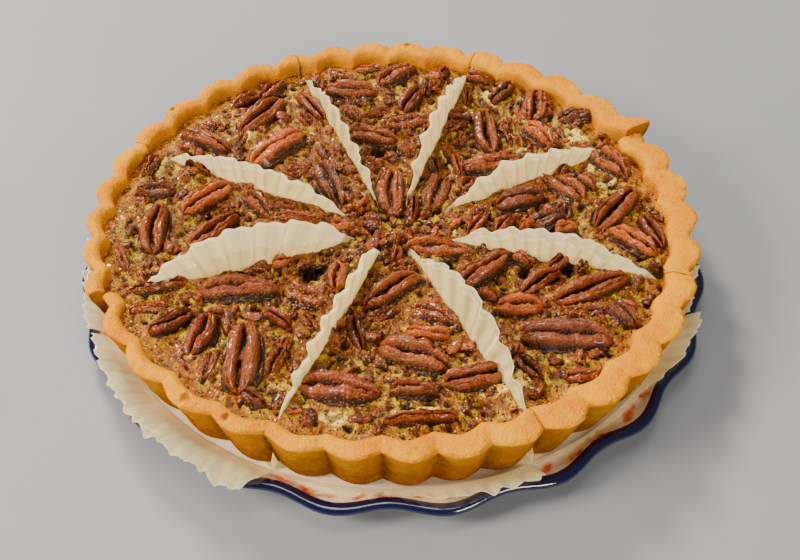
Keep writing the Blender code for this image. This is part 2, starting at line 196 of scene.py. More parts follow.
def maths(tree, operation, one, other=0.0, clamp=False):
    """One step of arithmetic on numbers or links, held between 0 and 1 if clamp is set."""
    node = tree.nodes.new("ShaderNodeMath")
    node.operation = operation
    node.use_clamp = clamp
    feed(tree, node.inputs[0], one)
    feed(tree, node.inputs[1], other)
    return node.outputs[0]


def between(tree, value, low, high):
    """0 below low, 1 above high and a smooth step between them."""
    smooth = {"interpolation_type": "SMOOTHSTEP"}
    return add(tree, "MapRange", smooth, Value=value, From_Min=low, From_Max=high).outputs["Result"]


def finish_named(name, roughness, **plain):
    """A new material, its tree and its Principled shader with plain values set."""
    made = bpy.data.materials.new(name)
    made.use_nodes = True
    shader = made.node_tree.nodes["Principled BSDF"]
    shader.inputs["Roughness"].default_value = roughness
    for socket, value in plain.items():
        shader.inputs[socket.replace("_", " ")].default_value = value
    return made, made.node_tree, shader


print("middle grey, as a shader takes it:", round(srgb(128, 128, 128)[0], 3))

# %% Mesh helpers
def grid(rows, columns, closed=False):
    """Four-sided faces over a table of points, row by row; closed joins the last column to the first."""
    faces = []
    across = columns if closed else columns - 1
    for row in range(rows - 1):
        for column in range(across):
            right = (column + 1) % columns
            faces.append((row * columns + column, row * columns + right,
                          (row + 1) * columns + right, (row + 1) * columns + column))
    return faces


def piece(name, points, faces, finish, replaced, masks=None, crease=50):
    """An object from points in millimetres. masks are named values per point, for the shader."""
    mesh = bpy.data.meshes.new(name)
    mesh.from_pydata((np.asarray(points, float) * MM).tolist(), [], faces)
    mesh.materials.append(finish)
    for mask, values in (masks or {}).items():
        layer = mesh.attributes.new(mask, "FLOAT", "POINT")
        layer.data.foreach_set("value", np.asarray(values, np.float32))
    mesh.shade_smooth()
    mesh.set_sharp_from_angle(angle=radians(crease))
    made = bpy.data.objects.new(name, mesh)
    bpy.context.scene.collection.objects.link(made)
    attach(made, "root")
    if replaced:
        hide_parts(*replaced)
    return made


def bumps(points, size, octaves=2, seed=0.0):
    """Smooth noise from about -1 to 1 at each point, for bumps of about that size in millimetres."""
    scaled = np.asarray(points, float) / size + seed
    return np.array([noise.fractal(p, 1.0, 2.0, octaves) for p in scaled.tolist()])


def step(value, low, high):
    """0 below low, 1 above high and a smooth step between them, on arrays."""
    share = np.clip((value - low) / (high - low), 0, 1)
    return share * share * (3 - 2 * share)


print("faces over a table of 3 rows and 4 columns:", len(grid(3, 4)))

# %% [markdown]
# ## Effects that several materials share
# Baked food has no flat colour. Three effects turn up again and again: broad mottling, sparse
# specks, and a fine grain that catches the light. Each one is a node group, built once, and each
# material places it with its own sizes. Sizes go in as millimetres, and the groups read the
# object's own coordinates, so the effects stay put when the view changes.

# %% Helpers for node groups
def group(name, inputs, outputs):
    """An empty node group with its inputs and outputs, given as names and starting values."""
    tree = bpy.data.node_groups.new(name, "ShaderNodeTree")
    for label, value in inputs.items():
        socket = tree.interface.new_socket(label, in_out="INPUT", socket_type="NodeSocketFloat")
        socket.default_value = value
    for label in outputs:
        tree.interface.new_socket(label, in_out="OUTPUT", socket_type="NodeSocketFloat")
    return tree, tree.nodes.new("NodeGroupInput"), tree.nodes.new("NodeGroupOutput")


def in_sizes(tree, size, seed):
    """The object's coordinates counted in sizes of so many millimetres, shifted by a seed."""
    place = add(tree, "TexCoord").outputs["Object"]
    per_metre = maths(tree, "DIVIDE", 1000.0, size)
    scaled = add(tree, "VectorMath", {"operation": "SCALE"}, Vector=place, Scale=per_metre)
    shift = add(tree, "CombineXYZ", X=seed, Y=seed, Z=seed)
    moved = tree.nodes.new("ShaderNodeVectorMath")
    tree.links.new(scaled.outputs[0], moved.inputs[0])
    tree.links.new(shift.outputs[0], moved.inputs[1])
    return moved.outputs[0]


# %% The three effects
def build_mottling():
    """Broad patches: a mask whose share of the surface can be set."""
    inputs = {"Size": 20.0, "Seed": 0.0, "Share": 0.5, "Softness": 0.15}
    tree, given, result = group("mottling", inputs, ["Mask"])
    where = in_sizes(tree, given.outputs["Size"], given.outputs["Seed"])
    cloud = add(tree, "TexNoise", Vector=where, Scale=1.0, Detail=4.0, Roughness=0.6).outputs["Fac"]
    level = maths(tree, "SUBTRACT", 0.72, maths(tree, "MULTIPLY", given.outputs["Share"], 0.44))
    low = maths(tree, "SUBTRACT", level, given.outputs["Softness"])
    high = maths(tree, "ADD", level, given.outputs["Softness"])
    tree.links.new(between(tree, cloud, low, high), result.inputs["Mask"])
    return tree


def build_specks():
    """Sparse round specks: only a share of the cells holds one."""
    inputs = {"Spacing": 3.0, "Seed": 0.0, "Radius": 0.25, "Share": 0.3}
    tree, given, result = group("specks", inputs, ["Mask"])
    where = in_sizes(tree, given.outputs["Spacing"], given.outputs["Seed"])
    cells = add(tree, "TexVoronoi", Vector=where, Scale=1.0)
    near = maths(tree, "SUBTRACT", given.outputs["Radius"], cells.outputs["Distance"])
    spot = between(tree, near, 0.0, 0.12)
    chance = add(tree, "SeparateColor", Color=cells.outputs["Color"]).outputs["Red"]
    chosen = maths(tree, "LESS_THAN", chance, given.outputs["Share"])
    tree.links.new(maths(tree, "MULTIPLY", spot, chosen), result.inputs["Mask"])
    return tree


def build_grain():
    """A height for bumps: sugary grains of one size over finer noise."""
    tree, given, result = group("grain", {"Size": 1.2, "Seed": 0.0, "Fine": 0.5}, ["Height"])
    where = in_sizes(tree, given.outputs["Size"], given.outputs["Seed"])
    cells = add(tree, "TexVoronoi", Vector=where, Scale=1.0)
    fine = add(tree, "TexNoise", Vector=where, Scale=1.7, Detail=3.0, Roughness=0.65).outputs["Fac"]
    grains = maths(tree, "SUBTRACT", 1.0, cells.outputs["Distance"])
    height = maths(tree, "ADD", grains, maths(tree, "MULTIPLY", fine, given.outputs["Fine"]))
    tree.links.new(height, result.inputs["Height"])
    return tree


MOTTLING = build_mottling()
SPECKS = build_specks()
GRAIN = build_grain()
print("shared effects:", [tree.name for tree in (MOTTLING, SPECKS, GRAIN)])


# %% Placing an effect
def effect(tree, shared, output, **inputs):
    """Places a shared group in a material and gives one of its outputs."""
    node = tree.nodes.new("ShaderNodeGroup")
    node.node_tree = shared
    for name, value in inputs.items():
        feed(tree, node.inputs[name], value)
    return node.outputs[output]


def mask(tree, name):
    """A value that the mesh carries for each of its points."""
    return add(tree, "Attribute", {"attribute_name": name}).outputs["Fac"]


def bump(tree, shader, height, depth):
    """Bumps of so many millimetres on a shader."""
    node = add(tree, "Bump", Height=height, Distance=depth * MM, Strength=1.0)
    tree.links.new(node.outputs["Normal"], shader.inputs["Normal"])


# %% Floor finish
pale, tree, shader = finish_named("pale floor", 0.85)
clouds = effect(tree, MOTTLING, "Mask", Size=260.0, Softness=0.3)
feed(tree, shader.inputs["Base Color"], mix(tree, clouds, srgb(130, 136, 148), srgb(139, 145, 157)))
floor.data.materials.append(pale)
print("floor finish:", pale.name)

# %% [markdown]
# ## How a slice is laid out
# A slice is a fan whose two straight sides lie a little off the knife's line. A point is given by
# its distance from the pie's axis and by a share from -1 to 1 across the fan. Close to the tip the
# cuts have almost closed again, because the soft filling ran together there.

# %% Slice layout
TIP_CLOSES_AT = 9.0
TIP_OPENS_AT = 17.0
TIP_HALF_CUT = 0.25
CRUST_CUT_FROM = 106.0
CRUST_CUT_TO = 113.0


def slice_angles(k):
    """The slice's middle direction and half its opening, in degrees."""
    start = CUTS[k]
    end = CUTS[k + 1] if k + 1 < SLICES else CUTS[0] - 360
    return (start + end) / 2, (start - end) / 2


def half_cut(radius):
    """Half a cut's width: nearly closed at the tip, open in the filling, narrow in the crust."""
    filling = TIP_HALF_CUT + (HALF_CUT - TIP_HALF_CUT) * step(radius, TIP_CLOSES_AT, TIP_OPENS_AT)
    return filling + (HALF_CUT_IN_CRUST - HALF_CUT) * step(radius, CRUST_CUT_FROM, CRUST_CUT_TO)


def fan(k, radius, share):
    """Angles of points in slice k's fan; share is -1 at the clockwise side and 1 at the other."""
    middle, half = slice_angles(k)
    opening = half - np.degrees(np.arcsin(half_cut(radius) / radius))
    return middle + share * opening


def polar(radius, angle, height):
    """Points from their distance to the pie's axis, their angle and their height."""
    turn = np.radians(angle)
    return np.stack(np.broadcast_arrays(radius * np.cos(turn), radius * np.sin(turn), height), -1)


print("slice 5 faces", [round(value, 1) for value in slice_angles(4)])

# %% [markdown]
# ## The crust
# A fluted tin presses the dough into scallops with sharp creases between them. The absolute value
# of a cosine has just that outline. The flutes of a real tin are a little uneven, so a few slow
# waves shift the angle first. The section of the case, from its floor up the inside, over the rim
# and down the fluted outside, is a row of points that is swept round the slice.

# %% Crust outline
FLUTE_AT_RIM = 4.0
FLUTE_AT_FOOT = 3.0
FLUTE_INSIDE = 3.0
RIM_WIDTH = 9.6
RIM_WIDER_ON_THE_RIGHT = 2.9
RIM_HIGHER_BEHIND = 1.1
RIM_WAVE = 0.5
RIM_DIPS_IN_CREASES = 0.9
# Slow waves of the outside wall: how many go round, depth, shift in degrees
OUTSIDE_WAVES = ((3, 0.6, -80), (5, 0.5, 40))


def flute_wave(angle):
    """1 on a flute's crest and 0 in the crease between two."""
    turn = np.radians(angle)
    warp = sum(c * np.cos(n * turn) + s * np.sin(n * turn) for n, c, s in FLUTE_WARP)
    return np.abs(np.cos(pi * (FIRST_FLUTE + warp - angle) * FLUTES / 360))


def crust_outside(angle, level):
    """Radius of the outside wall, at the foot for level 0 and at the rim for level 1."""
    uneven = sum(deep * np.sin(np.radians(count * angle + shift)) for count, deep, shift in OUTSIDE_WAVES)
    crest = FOOT_RADIUS + (CRUST_RADIUS - FOOT_RADIUS + uneven) * level
    depth = FLUTE_AT_FOOT + (FLUTE_AT_RIM - FLUTE_AT_FOOT) * level
    return crest - depth * (1 - flute_wave(angle))


def crust_inside(angle):
    """Radius of the inside wall: the rim is wider on the right, and the flutes show inside too."""
    rim = RIM_WIDTH + RIM_WIDER_ON_THE_RIGHT * np.cos(np.radians(angle))
    return CRUST_RADIUS - rim - FLUTE_INSIDE * (1 - flute_wave(angle))


def rim_top(angle):
    """Height of the rim: higher behind, slowly waving, and lower in the creases."""
    behind = RIM_HIGHER_BEHIND * step(np.sin(np.radians(angle)), 0.0, 0.8)
    wave = RIM_WAVE * np.sin(np.radians(4 * angle + 20))
    return RIM_TOP + behind + wave - RIM_DIPS_IN_CREASES * (1 - flute_wave(angle)) ** 1.5


print("outside wall at the rim in mm:", round(float(crust_outside(-90.0, 1.0)), 1))

# %% [markdown]
# The section is a list of stations: up the inside wall, over the rim and down the outside wall.
# Each one gives a radius, a height and how brown the dough is there, with painted shade added
# on the walls, and a small drop rounds the edges of the rim. Sweeping the section keeps the flutes
# exact, which a bent box wouldn't do.

# %% Crust section
RIM_STEPS = 12
WALL_STEPS = 16
INNER_STEPS = 8
CRUST_COLUMNS = 165
CRUST_TIP = 3.0
FLOOR_STEP = 50.0
WALL_LEANS = 0.5
FOOT_TUCK = 1.5
BROWN_ON_FLOOR = 0.5
BROWN_UNDERNEATH = 0.6
INNER_ROUND = 1.7
OUTER_ROUND = 0.7
RIM_SWELL = 0.35


def crust_section():
    """Stations of the section: part (0 inside wall, 1 rim, 2 outside wall), and a share along it."""
    stations = [(0, i / INNER_STEPS) for i in range(INNER_STEPS)]
    stations += [(1, i / RIM_STEPS) for i in range(RIM_STEPS + 1)]
    stations += [(2, i / WALL_STEPS) for i in range(1, WALL_STEPS + 1)]
    return stations


def crust_station(part, along, angle):
    """Radius, height and browning of one station, at every angle, with painted shade on the walls."""
    inside, top, crest = crust_inside(angle), rim_top(angle), flute_wave(angle)
    if part == 0:
        floor_top = CRUST_BASE + CRUST_FLOOR
        height = floor_top + along * (top - floor_top - INNER_ROUND)
        # Inside wall: browner lower down, and darker where a flute recedes, which is painted shade.
        return inside + WALL_LEANS * along, height, 0.32 + 0.3 * crest - 0.24 * along
    if part == 1:
        width = crust_outside(angle, 1.0) - inside - WALL_LEANS
        from_inside, from_outside = width * along, width * (1 - along)
        drop = INNER_ROUND * (1 - np.sqrt(np.clip(from_inside / (INNER_ROUND * 1.5), 0, 1)))
        drop += OUTER_ROUND * (1 - np.sqrt(np.clip(from_outside / OUTER_ROUND, 0, 1)))
        brown = 0.15 * (1 - step(from_inside, 0.3, 2.6))
        return inside + WALL_LEANS + from_inside, top - drop + RIM_SWELL * np.sin(pi * along), brown
    level = 1 - along
    height = CRUST_BASE + (top - OUTER_ROUND - CRUST_BASE) * level ** 1.05
    # Outside wall: lightly browned, with painted shade that deepens towards the foot and in the creases.
    return crust_outside(angle, level), height, 0.36 + 0.46 * along + 0.25 * (1 - crest) ** 2


def crust_sweep(k, share):
    """The section swept round slice k: its points row by row, their browning with painted shade, and the
    rows.
    """
    tip = np.full(CRUST_COLUMNS, CRUST_TIP)
    angle = fan(k, np.full(CRUST_COLUMNS, CRUST_RADIUS), share)
    floor_radii = tip, tip + FLOOR_STEP, crust_inside(angle) - WALL_LEANS
    foot_radii = crust_outside(angle, 0.0) - FOOT_TUCK, tip + FLOOR_STEP, tip
    stations = [(radius, CRUST_BASE + CRUST_FLOOR, BROWN_ON_FLOOR) for radius in floor_radii]
    stations += [crust_station(part, along, angle) for part, along in crust_section()]
    stations += [(radius, CRUST_BASE, BROWN_UNDERNEATH) for radius in foot_radii]
    points = [polar(radius, fan(k, radius, share), height) for radius, height, _ in stations]
    brown_and_shade = [np.broadcast_to(brown, share.shape) for _, _, brown in stations]
    return np.concatenate(points), np.concatenate(brown_and_shade), len(stations)


print("stations in the section:", len(crust_section()))

# %% [markdown]
# Dough doesn't come out of the oven as smooth as its tin. Noise moves every point, broadly and
# finely, but not under the foot, which lies flat. Where the knife pulled the case about, a slice's
# end is lifted, pushed or chipped, and drops of toffee ran over the rim and baked dark.

# %% Crust shape
# Ends that the knife moved: slice, side (-1 clockwise, 1 the other), lift, outwards, reach along the rim
MOVED_ENDS = (
    (2, -1, 3.2, 2.6, 7.0),
    (3, 1, -0.8, -1.6, 9.0),
    (7, 1, 0.6, 1.0, 8.0),
    (6, -1, -1.6, -3.4, 9.0),
    (5, -1, 0.5, 0.6, 5.0),
    (6, 1, -0.7, -0.8, 5.0),
    (4, -1, -0.5, -0.6, 4.0))
# Toffee that ran over the rim: x, y, size
DRIPS = (
    (-69.9, -99.2, 2.2), (-55.0, -107.1, 1.8), (5.7, 122.3, 2.0), (-61, -106, 1.0), (112, 46, 1.2),
    (-103, 67, 1.3))
BROAD_BUMP = 0.7
FINE_BUMP_OUTWARDS = 0.36
FINE_BUMP_UPWARDS = 0.34
CHIP_DEPTH = 0.6


def move_ends(k, points, outward, side, to_end):
    """Lifts and pushes the ends of slice k's rim, and chips them along the cut."""
    rim_only = np.clip((points[:, 2] - RIM_TOP + 16) / 12, 0, 1)
    for number, moved_side, lift, outwards, reach in MOVED_ENDS:
        if number == k + 1:
            near = np.exp(-(to_end / reach) ** 2) * (side == moved_side) * rim_only
            points[:, 2] += lift * near
            points += outward * (outwards * near)[:, None]
    chipped = np.exp(-(to_end / 0.9) ** 2) * rim_only * (0.5 + 0.8 * bumps(points, 3.0, 2, 5.0))
    points[:, 2] -= CHIP_DEPTH * chipped


def crust_faces(rows):
    """Faces of the swept section, of both cut ends and of the strip that closes the tip."""
    faces = grid(rows, CRUST_COLUMNS)
    for column in (0, CRUST_COLUMNS - 1):
        end = [row * CRUST_COLUMNS + column for row in range(rows)]
        faces.append(tuple(end if column == 0 else reversed(end)))
    last = (rows - 1) * CRUST_COLUMNS
    faces += [(last + column, last + column + 1, column + 1, column) for column in range(CRUST_COLUMNS - 1)]
    return [tuple(reversed(face)) for face in faces]


def build_crust(k):
    """Slice k's part of the case, with a mask for its browning and painted shade."""
    share = np.linspace(-1, 1, CRUST_COLUMNS)
    points, brown, rows = crust_sweep(k, share)
    outward = points * (1, 1, 0) / np.maximum(np.hypot(points[:, 0], points[:, 1]), 1)[:, None]
    free = np.clip((points[:, 2] - CRUST_BASE - 4) / 6, 0, 1)
    broad, fine = bumps(points, 12, 2, 3.0), bumps(points, 2.6, 3, 7.0)
    points = points + outward * (free * (BROAD_BUMP * broad + FINE_BUMP_OUTWARDS * fine))[:, None]
    points[:, 2] += free * (BROAD_BUMP * bumps(points, 11, 3, 11.0) + FINE_BUMP_UPWARDS * fine)
    to_end = np.tile((1 - np.abs(share)) * radians(slice_angles(k)[1]) * CRUST_RADIUS, rows)
    move_ends(k, points, outward, np.tile(np.sign(share), rows), to_end)
    brown = np.clip(brown + 0.4 * np.exp(-(to_end / 0.5) ** 2), 0, 1)
    for x, y, size in DRIPS:
        far = np.hypot(points[:, 0] - x, points[:, 1] - y) + 0.8 * fine
        brown = np.maximum(brown, 0.85 * np.exp(-(far / size) ** 4))
    return piece(f"crust_slice_{k + 1}", points, crust_faces(rows), CRUST_FINISH,
                 [f"crust_{k + 1}"], {"brown_and_shade": brown})


# %% [markdown]
# Shortcrust is matt and golden, with paler and more orange patches. It browns where it is thin or
# touches the boiling toffee, and shade is painted down the outside wall and into the flutes with the
# same mask, which rides on the mesh's points. A few dark specks and pale floury dots are sprinkled
# by the shared specks, and fine grain gives the sandy surface.

# %% Crust finish
CRUST_COLOURS = {
    "golden": srgb(208, 132, 0), "pale golden": srgb(217, 149, 1), "orange": srgb(205, 112, 0),
    "brown_and_shade": srgb(118, 68, 16), "speck": srgb(96, 52, 20), "spot": srgb(150, 62, 18),
    "flour": srgb(252, 200, 40)}


def build_crust_finish():
    """Golden patches, then orange ones, browning with painted shade, specks, spots and flour on top."""
    made, tree, shader = finish_named("baked shortcrust", 0.9, Specular_IOR_Level=0.0)
    patches = effect(tree, MOTTLING, "Mask", Size=22.0, Seed=2.0, Share=0.5, Softness=0.16)
    orange = effect(tree, MOTTLING, "Mask", Size=11.0, Seed=9.0, Share=0.35, Softness=0.1)
    colour = mix(tree, patches, CRUST_COLOURS["golden"], CRUST_COLOURS["pale golden"])
    colour = mix(tree, maths(tree, "MULTIPLY", orange, 0.55), colour, CRUST_COLOURS["orange"])
    edge = effect(tree, MOTTLING, "Mask", Size=3.5, Seed=4.0, Share=0.5, Softness=0.2)
    mottled = maths(tree, "ADD", 0.86, maths(tree, "MULTIPLY", edge, 0.26))
    # Browning, with painted shade on the walls, mottled a little.
    brown = maths(tree, "MULTIPLY", mask(tree, "brown_and_shade"), mottled)
    colour = mix(tree, between(tree, brown, 0.05, 1.0), colour, CRUST_COLOURS["brown_and_shade"])
    specks = effect(tree, SPECKS, "Mask", Spacing=8.0, Seed=1.0, Radius=0.13, Share=0.55)
    colour = mix(tree, maths(tree, "MULTIPLY", specks, 0.7), colour, CRUST_COLOURS["speck"])
    spots = effect(tree, SPECKS, "Mask", Spacing=19.0, Seed=3.3, Radius=0.11, Share=0.5)
    colour = mix(tree, maths(tree, "MULTIPLY", spots, 0.6), colour, CRUST_COLOURS["spot"])
    flour = effect(tree, SPECKS, "Mask", Spacing=2.6, Seed=6.0, Radius=0.22, Share=0.3)
    colour = mix(tree, maths(tree, "MULTIPLY", flour, 0.25), colour, CRUST_COLOURS["flour"])
    feed(tree, shader.inputs["Base Color"], colour)
    bump(tree, shader, effect(tree, GRAIN, "Height", Size=0.9, Fine=0.9), 0.34)
    return made


CRUST_FINISH = build_crust_finish()
crusts = [build_crust(k) for k in range(SLICES)]
print("crust points in a slice:", len(crusts[4].data.vertices))

# %% [markdown]
# ## The pecans
# Where the nuts lie has to be known before the custard, because the custard laps against them.
# Each row is one half: x, y, the direction of its length, length, width and kind. The first four of
# a slice are the big ones that are pieces of their own, and the rest are baked in deeper.

# %% Pecan kinds and places
# Each kind has its tone (0 dark, 1 orange), ribs, sugar on it, depth of the groove and height
PECAN_KINDS = {
    "smooth": (0.50, 0.20, 0.28, 0.80, 6.0),
    "deep": (0.46, 0.20, 0.22, 0.96, 6.4),
    "orange": (0.88, 0.30, 0.30, 0.86, 6.0),
    "ribbed": (0.64, 0.50, 0.30, 0.66, 5.6),
    "rough": (0.46, 0.55, 0.75, 0.55, 4.9),
    "dark": (0.12, 0.42, 0.25, 0.70, 5.2),
    "plum": (0.28, 0.22, 0.08, 0.72, 6.0),
    "sunk": (0.62, 0.25, 0.80, 0.45, 3.6)}
PECANS = (
    ((-1, 21, 90, 28, 15, "ribbed"), (-9.5, 58.5, -12, 22, 12, "smooth"), (-21, 91, -5, 26, 12, "smooth"),
     (1, 103, 35, 23, 13, "smooth"), (8, 86, 60, 18, 12, "plum"), (5, 69, 10, 24, 12, "rough"),
     (6, 49, -70, 14, 8, "rough"), (-20, 74, -40, 14, 9, "rough"), (-12, 40, -60, 9, 6, "rough"),
     (15, 95, 85, 14, 7, "dark"), (24, 104, 60, 10, 7, "dark"), (-8, 75, 20, 14, 7, "rough"),
     (-28, 104, -20, 16, 7, "sunk"), (14, 60, 80, 12, 7, "rough"), (-13, 108, 10, 14, 6, "sunk")),
    ((43.5, 61.5, 95, 32, 13.5, "deep"), (43, 37.5, 8, 25, 12.5, "ribbed"), (66, 79, 78, 22, 15, "ribbed"),
     (66, 56, -50, 19, 12, "orange"), (19, 21, 75, 24, 14, "rough"), (9, 11, 85, 14, 5, "smooth"),
     (18, 38, -75, 12, 7, "dark"), (26, 41, -70, 22, 6, "smooth"), (33, 25, 40, 11, 9, "rough"),
     (86, 70, 10, 19, 11, "dark"), (52, 90, 50, 18, 10, "dark"), (30, 72, -10, 14, 8, "smooth"),
     (29, 65, 20, 12, 7, "rough"), (35, 86, 90, 10, 6, "smooth"), (40, 100, -30, 15, 8, "smooth"),
     (53, 62, 95, 18, 5, "rough")),
    ((54.5, 13.5, 15, 22, 14, "plum"), (96, 34, -65, 24, 14, "ribbed"), (93.5, 6, 50, 30, 14, "deep"),
     (97, -16.5, -50, 23, 12, "orange"), (75, 19, -55, 20, 14, "smooth"), (65, 1, 20, 17, 10, "dark"),
     (73, 4, 80, 8, 6, "dark"), (37, 6, 0, 10, 8, "rough"), (35, -2, 50, 13, 8, "orange"),
     (47, -1, 50, 12, 8, "smooth"), (106, -10, -80, 22, 9, "plum"), (72, -7, 0, 10, 7, "orange"),
     (75, 32, 60, 8, 6, "rough"), (103, -34, 0, 9, 7, "dark"), (84, 22, -60, 12, 6, "smooth"),
     (56, -3, 0, 7, 5, "orange")),
    ((64, -67, -8, 34, 18, "plum"), (77.5, -42, 20, 32, 13, "deep"), (36, -29, 43, 26, 14, "deep"),
     (48.5, -50.5, -5, 18, 13, "orange"), (18, -15, -8, 28, 11, "ribbed"), (52, -24, -45, 10, 7, "smooth"),
     (66, -26, 45, 13, 8, "smooth"), (58, -36, 35, 20, 9, "smooth"), (86, -57, -60, 14, 10, "dark"),
     (73, -54, 0, 20, 8, "rough"), (49, -81, -60, 13, 8, "dark"), (68, -86, 0, 14, 7, "sunk"),
     (37, -44, -30, 10, 6, "smooth"), (75, -29, 60, 10, 5, "rough"), (7, -8, -50, 9, 6, "rough")),
    ((8, -76, -25, 28, 16, "deep"), (-18, -91.5, -8, 28, 16, "smooth"), (29, -86, 15, 22, 13, "deep"),
     (0, -40.5, 38, 27, 12, "smooth"), (16, -54, -25, 21, 11, "rough"), (13, -64, -5, 17, 8, "orange"),
     (-13, -62, -78, 23, 8, "dark"), (8, -93, -5, 18, 7, "plum"), (10, -105, 3, 26, 5, "smooth"),
     (4, -27, 10, 12, 8, "rough"), (-3, -54, 30, 14, 7, "rough"), (-1, -10, 15, 13, 8, "rough"),
     (1, -19, 80, 9, 6, "orange")),
    ((-59, -43.5, 2, 31, 13.5, "deep"), (-53.5, -77.5, 93, 34, 16, "deep"), (-70, -67, 78, 21, 12, "smooth"),
     (-33, -46, -30, 20, 11, "rough"), (-91, -43, 18, 24, 10, "rough"), (-82, -61.5, 45, 19, 9, "plum"),
     (-47, -97, -40, 11, 7, "dark"), (-22, -32, 85, 15, 11, "ribbed"), (-43, -56, -40, 12, 7, "smooth"),
     (-44, -26, 20, 9, 6, "orange"), (-41, -76, 75, 20, 8, "rough"), (-91, -55, 10, 16, 7, "sunk"),
     (-65, -81, 80, 14, 8, "sunk"), (-31, -58, -60, 12, 6, "rough"), (-66, -57, 0, 8, 6, "plum")),
    ((-97, -9, 94, 31, 13, "deep"), (-80, 11.5, 50, 26, 14, "orange"), (-74, -8, 50, 26, 11, "smooth"),
     (-58, 9.5, -50, 19, 11, "rough"), (-38, 1, -8, 28, 8, "rough"), (-102, 15, 0, 17, 11, "dark"),
     (-86, 33, -45, 15, 5, "smooth"), (-106, 30, 75, 15, 8, "rough"), (-107, -28, -65, 18, 5, "sunk"),
     (-46, 10, -20, 12, 6, "rough"), (-90, 28, 20, 10, 6, "sunk"), (-11, 0, 10, 13, 8, "rough"),
     (-22, -3, -20, 10, 7, "orange")),
    ((-52.5, 48, 47, 32, 17, "orange"), (-63, 71, 55, 30, 15, "deep"), (-28, 27, -70, 30, 13, "dark"),
     (-86, 49, -25, 25, 11, "smooth"), (-40, 79, -50, 22, 9, "smooth"), (-42, 69, -60, 12, 8, "rough"),
     (-31, 47, -60, 15, 9, "rough"), (-71, 80.5, 35, 15, 7, "smooth"), (-59, 89.5, 45, 16, 8, "smooth"),
     (-43, 33, 20, 13, 8, "rough"), (-15, 8, 30, 12, 8, "ribbed"), (-70, 52, 70, 12, 6, "sunk")))
print("pecan halves:", sum(len(rows) for rows in PECANS))

# %% [markdown]
# ## The custard
# The filling sank in the middle while it cooled and set against the case at the rim. Its surface
# is a height over the fan: a dish shape, lumps, a rise where it laps a nut, pits where bubbles
# burst, and a few deep holes. Real geometry does all of that down to a millimetre. A displacement
# map could do it too, but then the exported mesh would be flat.

# %% Custard surface
CUSTARD_SINKS = 12.0
CUSTARD_RISES = 7.0
LUMP = 1.3
LUMP_SIZE = 13.0
CUSTARD_EDGE = 112.0
CUSTARD_TIP = 1.3
CUSTARD_UNDER_RIM = 0.9
CUSTARD_ROWS = 156
CUSTARD_COLUMNS = 118
PITS = 260
PIT_SIZES = (0.4, 1.5)
# Deep dark holes: x, y, radius, depth
HOLES = (
    (-8, 49, 3.0, 5), (0, 48, 3.2, 5), (66, 68, 1.8, 3), (-33, -29, 3.8, 5), (-29, -26, 2.5, 4),
    (-72, 79, 2.2, 3.5), (-55, 87, 2.4, 3.5), (-7, 4, 2.6, 4), (13, 6, 1.8, 2.5), (22, -24, 3.0, 5),
    (15, -23, 2.2, 4), (53, -30, 2.8, 4.5), (71, -29, 2.2, 4), (-66, 5, 2.4, 4), (-12, 85, 1.8, 3),
    (2, -32, 2.0, 3), (92, -62, 1.5, 2.5), (34, 33, 2.0, 3), (66, -5, 3.0, 4), (60, 66, 1.5, 3))
# Pale patches of set custard: x, y, length, width, turn
PALE = (
    (82, 56, 15, 11, -20), (59, 48, 6, 5, 0), (9, -101, 25, 4.5, 6), (-7, 42, 7, 2.5, 100),
    (24, 42, 17, 3, -70), (-20, -104, 16, 5, -10), (88, 35, 15, 3.5, 75), (-102, 31, 13, 3, 80),
    (24, -4, 9, 4, -20), (12, 3, 5, 3, 0), (-66, 57, 13, 4, 60), (-86, 33, 8, 4, -30),
    (40, -90, 20, 5, 25), (92, 22, 10, 4, 10), (45, 88, 9, 6, 70), (-70, -74, 9, 4, 60))


def custard_level(x, y):
    """Height of the bare custard at places given as arrays."""
    radius = np.hypot(x, y)
    places = zip((x / LUMP_SIZE).tolist(), (y / LUMP_SIZE).tolist())
    lumps = np.array([noise.noise((a, b, 0.5)) for a, b in places])
    return RIM_TOP - CUSTARD_SINKS + CUSTARD_RISES * (radius / CUSTARD_EDGE) ** 2 + LUMP * lumps


def oval(x, y, spot_x, spot_y, length, width, turn):
    """Distance of points from an oval's middle, counted so that its edge is at 1."""
    a = radians(turn)
    along = (x - spot_x) * cos(a) + (y - spot_y) * sin(a)
    across = (y - spot_y) * cos(a) - (x - spot_x) * sin(a)
    return np.hypot(along / (length / 2), across / (width / 2))


def boundary(rows, columns):
    """Numbers of the points round the edge of a grid, in order."""
    first = list(range(columns))
    right = [row * columns + columns - 1 for row in range(1, rows)]
    last = [(rows - 1) * columns + column for column in range(columns - 2, -1, -1)]
    left = [row * columns for row in range(rows - 2, 0, -1)]
    return first + right + last + left


print("custard height, middle and edge:", custard_level(np.array([0.0, CUSTARD_EDGE]), np.zeros(2)).round(1))

# %% [markdown]
# Each thing that shapes the surface is a function over the places x and y of the slice's points:
# laps against the nuts, pits with a raised lip where bubbles burst, deep holes, and pale lumps.

# %% What shapes the custard
def nut_laps(x, y, k):
    """How far the custard rises round slice k's nuts, more round the sugared ones."""
    lap = np.zeros(len(x))
    for nut_x, nut_y, turn, length, width, kind in PECANS[k]:
        far = oval(x, y, nut_x, nut_y, length, width, turn)
        sugar = PECAN_KINDS[kind][2]
        lap = np.maximum(lap, (0.5 + 1.6 * sugar) * np.exp(-((far - 1.0) / 0.28) ** 2))
    return lap


